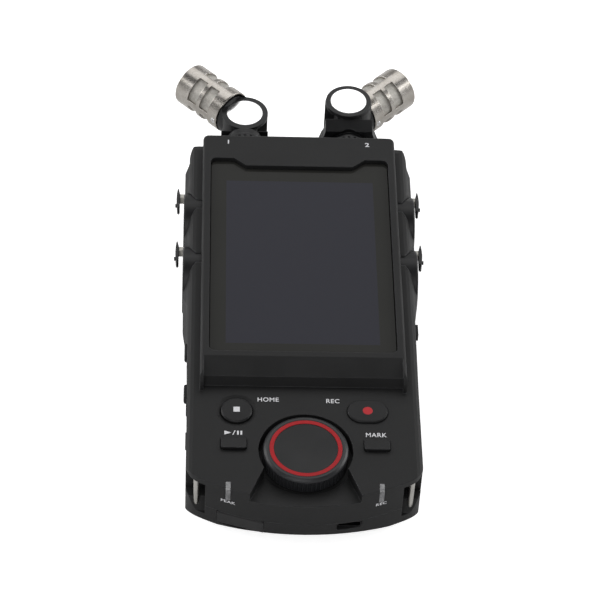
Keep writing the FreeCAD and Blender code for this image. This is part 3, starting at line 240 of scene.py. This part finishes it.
def dial_plastic():
    """Dial: satin middle with fine turned grooves and a glossier outer rim."""
    mat = Mat("dial_plastic")
    rounded = mat.bevel(0.35)
    fine = mat.noise(size=0.17)
    radius = dial_radius(mat)
    rim = mat.remap(radius, src=(0.0112, 0.0119), smooth=True)
    edge_wear_and_highlight = mat.mul(mat.edge(rounded), 0.5)
    colour = mat.mix(rim, (0.0105, 0.0107, 0.0112), (0.0140, 0.0145, 0.0160))
    rough = mat.add(mat.remap(mat.clouds(size=8.0), to=(-0.04, 0.05)),
                    mat.remap(rim, src=UNIT, to=(0.46, 0.36)))
    height = mat.add(fine, mat.mul(mat.wave(radius, pitch=0.00022), 0.12))
    # edges lightened in colour: partly edge wear, partly painted highlight
    return mat.set(base=mat.mix(edge_wear_and_highlight, colour, (0.07, 0.072, 0.078)), rough=rough,
                   spec=mat.remap(rim, src=UNIT, to=(0.32, 0.46)),
                   normal=mat.bump(height, strength=0.25, depth=0.02, normal=rounded))


def red_ring():
    """Anodised ring, turned: fine concentric grooves and a slow change of gloss."""
    mat = Mat("red_ring")
    turned = mat.wave(dial_radius(mat), pitch=0.00018)
    slow = mat.noise(size=4.0, detail=3.0, rough=0.6)
    rounded = mat.bevel(0.15)
    colour = mat.mix(mat.remap(slow), (0.32, 0.006, 0.010), (0.40, 0.009, 0.013))
    # painted shade: the ring's edges are darkened in colour
    colour = mat.mix(mat.mul(mat.edge(rounded), 0.4), colour, (0.16, 0.005, 0.008))
    return mat.set(base=colour, metal=0.2, spec=0.3, rough=mat.remap(slow, to=(0.38, 0.5)),
                   normal=mat.bump(turned, strength=0.15, depth=0.01, normal=rounded))


def light_pipe():
    """Grey acrylic light pipe: cloudy inside, polished outside."""
    mat = Mat("light_pipe")
    cloud = mat.clouds(size=1.5)
    colour = mat.mix(mat.remap(cloud, src=INNER), (0.085, 0.085, 0.088), (0.21, 0.21, 0.215))
    return mat.set(base=colour, rough=mat.remap(cloud, to=(0.12, 0.24)), spec=0.7,
                   coat=0.5, coat_rough=0.08,
                   normal=mat.bump(cloud, strength=0.05, depth=0.02, normal=mat.bevel(0.25)))


def lever_plastic():
    """Release lever: light moulded stem, black finger tab outside it."""
    tab_start = (0.03985, 0.03995)  # distance from the middle plane where the tab begins
    mat = Mat("lever_plastic")
    rounded = mat.bevel(0.2)
    x, _, _ = mat.split()
    tab = mat.remap(mat.math("ABSOLUTE", x), src=tab_start)
    slow = mat.clouds(size=3.0)
    light = mat.mix(mat.remap(slow), (0.66, 0.64, 0.57), (0.80, 0.78, 0.72))
    dark = mat.mix(mat.mul(mat.edge(rounded), 0.4), (0.010, 0.010, 0.0105), (0.10, 0.10, 0.10))
    return mat.set(base=mat.mix(tab, light, dark), rough=mat.remap(slow, to=(0.34, 0.46)),
                   spec=0.38, normal=mat.bump(mat.noise(size=0.2), strength=0.12, depth=0.01,
                                              normal=rounded))


# ---------------------------------------------------------------- display, board and cells
def display_glass():
    """Cover glass: a black printed border round the unlit panel, and a faint smear."""
    # half width and half height of the clear window, each with its soft margin
    half_width, half_height = (0.02440, 0.02456), (0.03664, 0.03680)
    cell_pitch = 0.000153  # pitch of the panel's display cells
    mat = Mat("display_glass")
    x, y, _ = mat.split()
    across, along = mat.math("ABSOLUTE", x), mat.math("ABSOLUTE", y)
    inside = mat.mul(mat.remap(across, src=half_width, to=FALL, smooth=True),
                     mat.remap(along, src=half_height, to=FALL, smooth=True))
    cells = mat.mul(mat.wave(x, cell_pitch), mat.wave(y, cell_pitch))
    panel = mat.scaled((0.0310, 0.0313, 0.0400), mat.remap(cells, src=WAVE, to=(0.85, 1.15)))
    border = mat.mix(mat.remap(mat.noise(size=30.0, detail=3.0), src=INNER),
                     (0.0250, 0.0250, 0.0228), (0.0272, 0.0272, 0.0250))
    smear = mat.noise(size=22.0, detail=5.0, rough=0.62, stretch=(1.0, 0.35, 1.0))
    return mat.set(base=mat.mix(inside, border, panel),
                   rough=mat.remap(smear, src=(0.35, 0.7), to=(0.05, 0.13)), ior=1.45, spec=0.10,
                   normal=mat.bump(mat.noise(size=0.9), strength=0.02, depth=0.01,
                                   normal=mat.bevel(0.15)))


def display_panel():
    mat = Mat("display_panel")
    x, _, _ = mat.split()
    stripes = mat.remap(mat.wave(x, pitch=0.0003), src=WAVE)
    return mat.set(base=mat.mix(stripes, (0.02, 0.022, 0.03), (0.028, 0.03, 0.04)),
                   rough=mat.remap(mat.noise(size=5.0), to=(0.2, 0.3)), normal=mat.bevel(0.2))


def circuit_board():
    """Solder mask over copper traces, with tinned pads."""
    mat = Mat("circuit_board")
    trace = mat.node("TexBrick", {"Scale": 420.0, "Mortar Size": 0.035,
                                  "Vector": mat.co}).outputs["Fac"]
    pads = mat.remap(mat.voronoi(size=3.4), src=(0.10, 0.14), to=FALL)
    colour = mat.mix(trace, (0.012, 0.085, 0.035), (0.03, 0.16, 0.06))
    return mat.set(base=mat.mix(pads, colour, (0.62, 0.60, 0.52)), metal=mat.mul(pads, 0.9),
                   rough=mat.remap(mat.noise(size=2.0), to=(0.28, 0.42)),
                   coat=0.4, coat_rough=0.2,
                   normal=mat.bump(trace, strength=0.3, depth=0.03, normal=mat.bevel(0.1)))


def cell_jacket():
    """Printed jacket of a dry cell: two colours, bare metal ends and light scratches."""
    middle_y = -0.041
    end_start = (0.0236, 0.0238)      # distance from the middle where bare metal begins
    band_start = (-0.034, -0.0338)    # y where the coloured band begins
    mat = Mat("cell_jacket")
    _, y, _ = mat.split()
    bare = mat.remap(mat.math("ABSOLUTE", mat.add(y, -middle_y)), src=end_start)
    band = mat.remap(y, src=band_start)
    scratches = mat.noise(size=1.6, detail=4.0, rough=0.65, stretch=(1.0, 0.08, 1.0))
    colour = mat.mix(band, (0.05, 0.05, 0.055), (0.42, 0.20, 0.07))
    return mat.set(base=mat.mix(bare, colour, (0.6, 0.6, 0.6)),
                   metal=mat.remap(bare, src=UNIT, to=(0.55, 1.0)),
                   rough=mat.remap(scratches, to=(0.22, 0.42)),
                   normal=mat.bump(scratches, strength=0.08, depth=0.02, normal=mat.bevel(0.3)))


# ---------------------------------------------------------------- metals
def metal(name, base, rough, grain, stretch=(1, 1, 1), edge_radius=0.2, bump=0.08, dark=0.75,
          tarnish=None):
    """Bare metal with grain, slow patches `dark` times the base, and brighter edges."""
    mat = Mat(name)
    rounded = mat.bevel(edge_radius)
    lines = mat.noise(size=grain, detail=3.0, rough=0.6, stretch=stretch)
    slow = mat.clouds(size=6.0)
    colour = mat.mix(mat.remap(slow), tuple(c * dark for c in base), base)
    if tarnish:
        spots = mat.remap(mat.noise(size=2.2, detail=4.0, rough=0.65),
                          src=(0.56, 0.72), to=(0.0, 0.5))
        colour = mat.mix(spots, colour, tarnish)
    colour = mat.mix(mat.mul(mat.edge(rounded), 0.5), colour,
                     tuple(min(1.0, c * 1.25 + 0.05) for c in base))
    gloss = mat.add(mat.remap(lines, to=(rough - 0.05, rough + 0.06)),
                    mat.remap(slow, to=(-0.03, 0.04)))
    return mat.set(base=colour, metal=1.0, rough=gloss,
                   normal=mat.bump(lines, bump, depth=0.02, normal=rounded))


def capsule_axes(side):
    """Unit vectors of a microphone in plan: along its axis, and square to it."""
    diagonal = math.sqrt(0.5)
    return (side * diagonal, diagonal, 0.0), (side * diagonal, -diagonal, 0.0)


def capsule_root(side):
    return Vector((side * CAPSULE_ROOT[0], *CAPSULE_ROOT[1:]))


def about_axis(mat, side):
    """Position along a microphone's axis, the two offsets square to it, and their angle."""
    axis, cross = capsule_axes(side)
    offset = mat.vector("SUBTRACT", mat.co, tuple(capsule_root(side) * MM))
    along = mat.dot(offset, axis)
    across = mat.dot(offset, cross)
    height = mat.dot(offset, (0.0, 0.0, 1.0))
    return along, across, height, mat.math("ARCTAN2", height, across)


def capsule_metal(label):
    """Warm nickel-plated tube, brushed around its girth, with polished window edges."""
    bore = (0.00708, 0.00722)  # radius where the dark inner wall gives way to the outer
    mat = Mat("capsule_metal_" + label)
    along, across, height, angle = about_axis(mat, SIDES[label])
    radius = mat.length(across, height)
    # long features around the girth, short ones along the tube
    brushed = mat.node("CombineXYZ", {0: mat.mul(along, 1.0), 1: mat.mul(angle, 0.0011),
                                      2: mat.mul(radius, 0.35)}).outputs[0]
    lines = mat.noise(size=0.16, detail=4.0, rough=0.65, vec=brushed)
    slow = mat.clouds(size=5.0)
    rounded = mat.bevel(0.22, samples=8)
    edge = mat.edge(rounded, src=(0.02, 0.3))
    colour = mat.mix(mat.remap(slow, src=(0.32, 0.68)), (0.40, 0.375, 0.34), (0.56, 0.535, 0.50))
    colour = mat.mix(mat.remap(lines, src=(0.35, 0.7), to=(0.0, 0.45)), colour,
                     (0.30, 0.27, 0.235))
    colour = mat.mix(mat.mul(edge, 0.8), colour, (0.93, 0.91, 0.88))
    inner = mat.remap(radius, src=bore, to=FALL)
    colour = mat.mix(mat.mul(inner, 0.8), colour, (0.07, 0.062, 0.052))
    gloss = mat.add(mat.remap(lines, to=(0.19, 0.29)), mat.remap(slow, to=(-0.03, 0.04)))
    return mat.set(base=colour, metal=1.0, rough=gloss, aniso=0.4,
                   normal=mat.bump(lines, strength=0.16, depth=0.012, normal=rounded))


def wire_mesh(label):
    """Woven wire cloth behind the windows: over-under wires with dark openings."""
    pitch = 0.00052       # along the axis
    turn_frequency = 84.0  # sine phase per radian about the axis
    low_wire = 0.55       # height of a wire where it passes under
    mat = Mat("wire_mesh_" + label)
    along, _, _, angle = about_axis(mat, SIDES[label])
    phases = mat.mul(along, 2 * math.pi / pitch), mat.mul(angle, turn_frequency)
    wires = [mat.math("ABSOLUTE", mat.math("SINE", phase)) for phase in phases]
    signs = [mat.math("SIGN", mat.math("SINE", mat.mul(phase, 0.5))) for phase in phases]
    over = mat.mul(*signs)
    warp = mat.mul(wires[0], mat.remap(over, src=WAVE, to=(low_wire, 1.0)))
    weft = mat.mul(wires[1], mat.remap(over, src=WAVE, to=(1.0, low_wire)))
    height = mat.math("MAXIMUM", warp, weft)
    hole = mat.remap(mat.math("MAXIMUM", *wires), src=(0.35, 0.6), to=FALL, smooth=True)
    blotch = mat.noise(size=1.1, detail=3.0, rough=0.65)
    colour = mat.mix(mat.remap(blotch, src=INNER), (0.46, 0.44, 0.40), (0.62, 0.60, 0.56))
    return mat.set(base=mat.mix(mat.mul(hole, 0.85), colour, (0.035, 0.032, 0.028)),
                   metal=0.85, rough=mat.remap(blotch, to=(0.34, 0.5)),
                   normal=mat.bump(height, strength=0.9, depth=0.09))


# ---------------------------------------------------------------- materials on the CAD pieces
PLASTICS = {
    "case_plastic": dict(base=(0.0128, 0.0129, 0.0131), rough=0.52, spec=0.25),
    "key_plastic": dict(base=(0.0090, 0.0091, 0.0095), rough=0.44, spec=0.26, grain=0.16,
                        edge_radius=0.3),
    "mic_plastic": dict(base=(0.0098, 0.0100, 0.0106), rough=0.40, spec=0.34, grain=0.15,
                        bump=0.25, edge_radius=0.3),
    "jack_plastic": dict(base=(0.009, 0.009, 0.0098), rough=0.42, spec=0.32, grain=0.18,
                         edge_radius=0.3),
    "speaker_black": dict(base=(0.01, 0.01, 0.011), rough=0.7, spec=0.3, grain=0.3),
}
METALS = {
    "chrome": dict(base=(0.86, 0.86, 0.87), rough=0.11, grain=0.8, bump=0.03, dark=0.9),
    "spring_steel": dict(base=(0.62, 0.61, 0.59), rough=0.28, grain=0.3, stretch=(1, 6, 1),
                         edge_radius=0.15),
    "black_steel": dict(base=(0.09, 0.09, 0.095), rough=0.34, grain=0.4,
                        tarnish=(0.2, 0.19, 0.18)),
    "bar_steel": dict(base=(0.60, 0.585, 0.55), rough=0.30, grain=0.5, stretch=(4, 4, 1),
                      bump=0.06),
    "brass": dict(base=(0.74, 0.55, 0.28), rough=0.25, grain=0.3, tarnish=(0.35, 0.22, 0.10)),
    "cap_silver": dict(base=(0.95, 0.95, 0.955), rough=0.20, grain=1.2, edge_radius=0.12,
                       bump=0.01, dark=0.97),
    # near-black base: painted shade, standing in for the shade inside the port's opening
    "port_metal": dict(base=(0.05, 0.05, 0.052), rough=0.4, grain=0.3, edge_radius=0.1,
                       tarnish=(0.08, 0.078, 0.075)),
}
materials = {name: plastic(name, **look) for name, look in PLASTICS.items()}
materials.update({name: metal(name, **look) for name, look in METALS.items()})
materials.update({
    "rubber_black": rubber(), "dial_plastic": dial_plastic(), "red_ring": red_ring(),
    "display_glass": display_glass(), "display_panel": display_panel(),
    "circuit_board": circuit_board(), "cell_jacket": cell_jacket(), "light_pipe": light_pipe(),
    "lever_plastic": lever_plastic(), "chrome_mirror": materials["cap_silver"],
})
for build in (capsule_metal, wire_mesh):
    for label in SIDES:
        materials[f"{build.__name__}_{label}"] = build(label)


def material_for(node, slot):
    if node == "strap_bars":
        return materials["bar_steel"]
    # the USB port gets the near-black metal, as painted shade inside its opening
    if node == "usb_port":
        return materials["port_metal"]
    if node.startswith("release_lever"):
        return materials["lever_plastic"]
    if slot in ("capsule_metal", "wire_mesh"):
        return materials[slot + ("_left" if node.endswith("left") else "_right")]
    return materials[slot]


for part in frame["record"]["subparts"]:
    material_for(part["node"], part["material_slot"]).apply(frame["nodes"][part["node"]])


# ---------------------------------------------------------------- printing
def ink(name, colour):
    """Pad-printed ink: uneven coverage and a satin surface."""
    mat = Mat(name)
    cover = mat.noise(size=0.35, detail=3.0, rough=0.65)
    thin = mat.remap(cover, src=(0.55, 0.78), to=(0.0, 0.35))
    return mat.set(base=mat.mix(thin, colour, tuple(c * 0.55 for c in colour)),
                   rough=mat.remap(cover, to=(0.44, 0.58)), spec=0.4,
                   normal=mat.bump(cover, strength=0.12, depth=0.01))


white = ink("print_white", (0.72, 0.72, 0.74))
red = ink("print_red", (0.46, 0.011, 0.018))


def place(name, mesh, mat, body):
    """Put a mesh in the scene, fixed to a body of the frame."""
    obj = bpy.data.objects.new(name, mesh)
    scene.collection.objects.link(obj)
    mat.apply(obj)
    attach(obj, body)
    return obj


def to_mesh(name, shape, smooth=False):
    mesh = bpy.data.meshes.new(name)
    shape.normal_update()
    shape.to_mesh(mesh)
    shape.free()
    if smooth:
        for face in mesh.polygons:
            face.use_smooth = True
    return mesh


def printed(name, body, z, outlines, mat=white, thick=0.012):
    """Flat printed outlines in mm, raised by the ink's thickness."""
    shape = bmesh.new()
    for points in outlines:
        shape.faces.new([shape.verts.new((x * MM, y * MM, z * MM)) for x, y in points])
    raised = bmesh.ops.extrude_face_region(shape, geom=shape.faces[:])["geom"]
    bmesh.ops.translate(shape, verts=[g for g in raised if isinstance(g, bmesh.types.BMVert)],
                        vec=Vector((0, 0, thick * MM)))
    bmesh.ops.recalc_face_normals(shape, faces=shape.faces[:])
    place(name, to_mesh(name, shape), mat, body)


def legend(name, words, cap, at=(0, 0, 0), width=0.97, bold=0.014, spacing=1.10):
    """Printed words on the case, centred on `at`; cap height and place in mm."""
    half_thickness = 0.010 * MM
    curve = bpy.data.curves.new(name + "_c", "FONT")
    curve.body = words
    curve.align_x = "CENTER"
    curve.align_y = "BOTTOM_BASELINE"
    curve.space_character = spacing
    curve.resolution_u = 6
    curve.offset = bold
    curve.extrude = 0.004
    text = bpy.data.objects.new(name + "_t", curve)
    scene.collection.objects.link(text)
    bpy.context.view_layer.update()
    solid = text.evaluated_get(bpy.context.evaluated_depsgraph_get())
    mesh = bpy.data.meshes.new_from_object(solid)
    bpy.data.objects.remove(text)
    scale = cap * MM / max(v.co.y for v in mesh.vertices)
    for v in mesh.vertices:
        v.co = Vector((v.co.x * scale * width, v.co.y * scale,
                       half_thickness if v.co.z > 0 else -half_thickness))
    mesh.transform(Matrix.Translation(Vector(at) * MM))
    mesh.name = name
    return place(name, mesh, white, "case")


DECK_Z = 29.0  # top face around the keys
HEAD_Z = 34.5  # raised top face at the microphone end

for number, x, y in (("1", -23.9, 53.1), ("2", 23.1, 52.8)):
    legend("legend_input_" + number, number, cap=1.85, at=(x, y, HEAD_Z), width=1.15, bold=0.02)
for words, x, y in (("HOME", -11.1, -57.6), ("REC", 9.1, -57.85), ("MARK", 22.2, -71.5)):
    legend("legend_" + words.lower(), words, cap=1.65, at=(x, y, DECK_Z))

# outlines of the play / pause sign, x and y from its centre
PLAY_PAUSE_CENTRE = (-21.9, -70.55)
PLAY_PAUSE = [
    [(-2.75, -0.8), (-0.6, 0.0), (-2.75, 0.8)],                 # triangle
    [(-0.3, -0.9), (0.0, -0.9), (0.7, 0.9), (0.4, 0.9)],        # slash
    [(1.15, -0.8), (1.7, -0.8), (1.7, 0.8), (1.15, 0.8)],       # two bars
    [(2.2, -0.8), (2.75, -0.8), (2.75, 0.8), (2.2, 0.8)],
]


def moved(points, centre):
    return [(centre[0] + x, centre[1] + y) for x, y in points]


def disc(radius, count=40):
    turns = [2 * math.pi * i / count for i in range(count)]
    return [(radius * math.cos(turn), radius * math.sin(turn)) for turn in turns]


def top_of(node):
    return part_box(node)[1].z / MM


printed("legend_play_pause", "case", DECK_Z,
        [moved(points, PLAY_PAUSE_CENTRE) for points in PLAY_PAUSE])
STOP_SQUARE = [(-1.0, -1.0), (1.0, -1.0), (1.0, 1.0), (-1.0, 1.0)]
printed("mark_stop", "home_button", top_of("home_button") - 0.01,
        [moved(STOP_SQUARE, (-20.9, -61.5))], thick=0.02)
printed("mark_record", "record_button", top_of("record_button"),
        [moved(disc(radius=1.55), (19.9, -61.4))], mat=red, thick=0.015)

# PEAK and REC under the light pipes, wrapped round the curved -Y end face
END_RADIUS = 68.0
END_CENTRE_Y = -29.0
END_LEGEND_X = 23.4
END_LEGEND_Z = 22.2   # baseline
END_INK_LIFT = 0.012  # middle of the ink above the face
for side, words, name in ((-1, "PEAK", "legend_peak"), (1, "REC", "legend_rec_light")):
    flat = legend(name, words, cap=1.15, width=1.15, spacing=1.12)
    middle = math.asin(side * END_LEGEND_X / END_RADIUS)
    for v in flat.data.vertices:
        turn = middle + v.co.x / MM / END_RADIUS
        radius = END_RADIUS + END_INK_LIFT + v.co.z / MM
        v.co = Vector((radius * math.sin(turn), END_CENTRE_Y - radius * math.cos(turn),
                       END_LEGEND_Z + v.co.y / MM)) * MM
    flat.data.update()


# ---------------------------------------------------------------- set screws
SCREW_ALONG = 8.15   # from the capsule's root, along its axis
SCREW_OUT = 7.55     # from the capsule's axis
SCREW_SEGMENTS = 36
SOCKET_LIMIT = 0.5   # rings inside this radius are hexagons
# radius and height of each ring, from the socket's floor out to the screw's edge
SCREW_PROFILE = [(0.0, 0.02), (0.42, 0.02), (0.46, 0.26), (0.78, 0.30), (0.92, 0.18), (0.95, 0.0)]


def set_screw(label):
    """Grub screw with a hexagon socket in the tube's wall, at the tube's root."""
    side = SIDES[label]
    along, out = (Vector(axis) for axis in capsule_axes(side))
    to_frame = Matrix((along, out.cross(along), out)).transposed().to_4x4()
    to_frame.translation = capsule_root(side) + along * SCREW_ALONG + out * SCREW_OUT
    sixth = math.pi / 6
    shape = bmesh.new()
    rings = []
    for radius, z in SCREW_PROFILE:
        ring = []
        for i in range(SCREW_SEGMENTS):
            turn = 2 * math.pi * i / SCREW_SEGMENTS
            reach = radius
            if 0 < radius < SOCKET_LIMIT:
                reach = radius / math.cos((turn + sixth) % (2 * sixth) - sixth) * 0.95
            point = Vector((reach * math.cos(turn), reach * math.sin(turn), z))
            ring.append(shape.verts.new((to_frame @ point) * MM))
        rings.append(ring)
    for first, second in zip(rings, rings[1:]):
        for i in range(SCREW_SEGMENTS):
            j = (i + 1) % SCREW_SEGMENTS
            shape.faces.new((first[i], first[j], second[j], second[i]))
    bmesh.ops.remove_doubles(shape, verts=shape.verts[:], dist=1e-7)
    bmesh.ops.recalc_face_normals(shape, faces=shape.faces[:])
    name = "capsule_set_screw_" + label
    place(name, to_mesh(name, shape, smooth=True), materials["chrome"],
          f"mic_{label}_head")


for label in SIDES:
    set_screw(label)


# ---------------------------------------------------------------- floor, world, lights, camera
def floor():
    """White sweep, see-through from below and a shade lighter when seen directly."""
    shape = bmesh.new()
    bmesh.ops.create_grid(shape, x_segments=1, y_segments=1, size=6.0)
    obj = bpy.data.objects.new("floor", to_mesh("floor", shape))
    obj.location = (0, 0, -0.0002)
    scene.collection.objects.link(obj)
    mat = Mat("floor_white", base=(0.93, 0.93, 0.93), rough=0.9, spec=0.0, emit=(1.0, 1.0, 1.0))
    seen = mat.node("LightPath").outputs["Is Camera Ray"]
    mat.set(emit_power=mat.mul(seen, 0.75))
    below = mat.node("NewGeometry").outputs["Backfacing"]
    clear = mat.node("BsdfTransparent").outputs[0]
    mixed = mat.node("MixShader", {0: below, 1: mat.shader.outputs[0], 2: clear})
    mat.link(mixed.outputs[0], mat.output.inputs[0])
    mat.apply(obj)


def studio_world():
    """Light that falls off towards the zenith; the camera sees plain white."""
    world = bpy.data.worlds.new("studio")
    scene.world = world
    world.use_nodes = True
    tree = world.node_tree
    tree.nodes.clear()
    direction = new_node(tree, "TexCoord").outputs["Generated"]
    height = new_node(tree, "SeparateXYZ", {0: direction}).outputs[2]
    ramp = new_node(tree, "ValToRGB", {0: height})
    stops = ramp.color_ramp.elements
    stops[0].position, stops[0].color = 0.0, (1.0, 1.0, 1.0, 1)
    stops[1].position, stops[1].color = 1.0, (0.12, 0.12, 0.125, 1)
    stops.new(0.14).color = (0.85, 0.85, 0.86, 1)
    stops.new(0.42).color = (0.30, 0.30, 0.305, 1)
    light = new_node(tree, "Background", {"Color": ramp.outputs[0], "Strength": 0.75})
    backdrop = new_node(tree, "Background", {"Color": (1.0, 1.0, 1.0)})
    seen = new_node(tree, "LightPath").outputs["Is Camera Ray"]
    mixed = new_node(tree, "MixShader", {0: seen, 1: light.outputs[0], 2: backdrop.outputs[0]})
    new_node(tree, "OutputWorld", {0: mixed.outputs[0]})


def softbox(name, at, target, power, size, size_y=None):
    """Area light in metres and watts; square unless size_y is given."""
    light = bpy.data.lights.new(name, "AREA")
    light.energy = power
    light.shape = "RECTANGLE" if size_y else "SQUARE"
    light.size = size
    if size_y:
        light.size_y = size_y
    obj = bpy.data.objects.new(name, light)
    scene.collection.objects.link(obj)
    obj.location = at
    obj.rotation_mode = "QUATERNION"
    obj.rotation_quaternion = (Vector(target) - Vector(at)).to_track_quat("-Z", "Y")


def camera(target, azimuth, elevation, roll, distance, lens):
    """Camera orbiting a target; angles in degrees, lengths in mm."""
    azimuth, elevation, roll = (math.radians(a) for a in (azimuth, elevation, roll))
    back = Vector((math.sin(azimuth) * math.cos(elevation),
                   -math.cos(azimuth) * math.cos(elevation), math.sin(elevation)))
    level = Vector((math.cos(azimuth), math.sin(azimuth), 0.0))
    upright = back.cross(level)
    right = math.cos(roll) * level + math.sin(roll) * upright
    up = -math.sin(roll) * level + math.cos(roll) * upright
    data = bpy.data.cameras.new("camera")
    data.sensor_width = 36.0
    data.lens = lens
    data.clip_start, data.clip_end = 0.05, 50.0
    obj = bpy.data.objects.new("camera", data)
    scene.collection.objects.link(obj)
    pose = Matrix((right, up, back)).transposed().to_4x4()
    pose.translation = (Vector(target) + back * distance) * MM
    obj.matrix_world = pose
    scene.camera = obj


floor()
studio_world()
softbox("softbox_back", at=(0.05, 1.05, 1.15), target=(0, 0.02, 0.02), power=6.2,
        size=1.5, size_y=1.0)
for label, side in SIDES.items():
    softbox("softbox_" + label, at=(side * 1.15, 0.5, 0.62), target=(0, 0, 0.02), power=7.2,
            size=0.8, size_y=0.8)
softbox("softbox_front", at=(-0.3, -1.1, 1.3), target=(0, -0.02, 0.02), power=9.5, size=1.1)
camera(target=(-0.678, -17.658, 33.0), azimuth=-3.288, elevation=46.639, roll=3.339,
       distance=866.94, lens=162.0234)
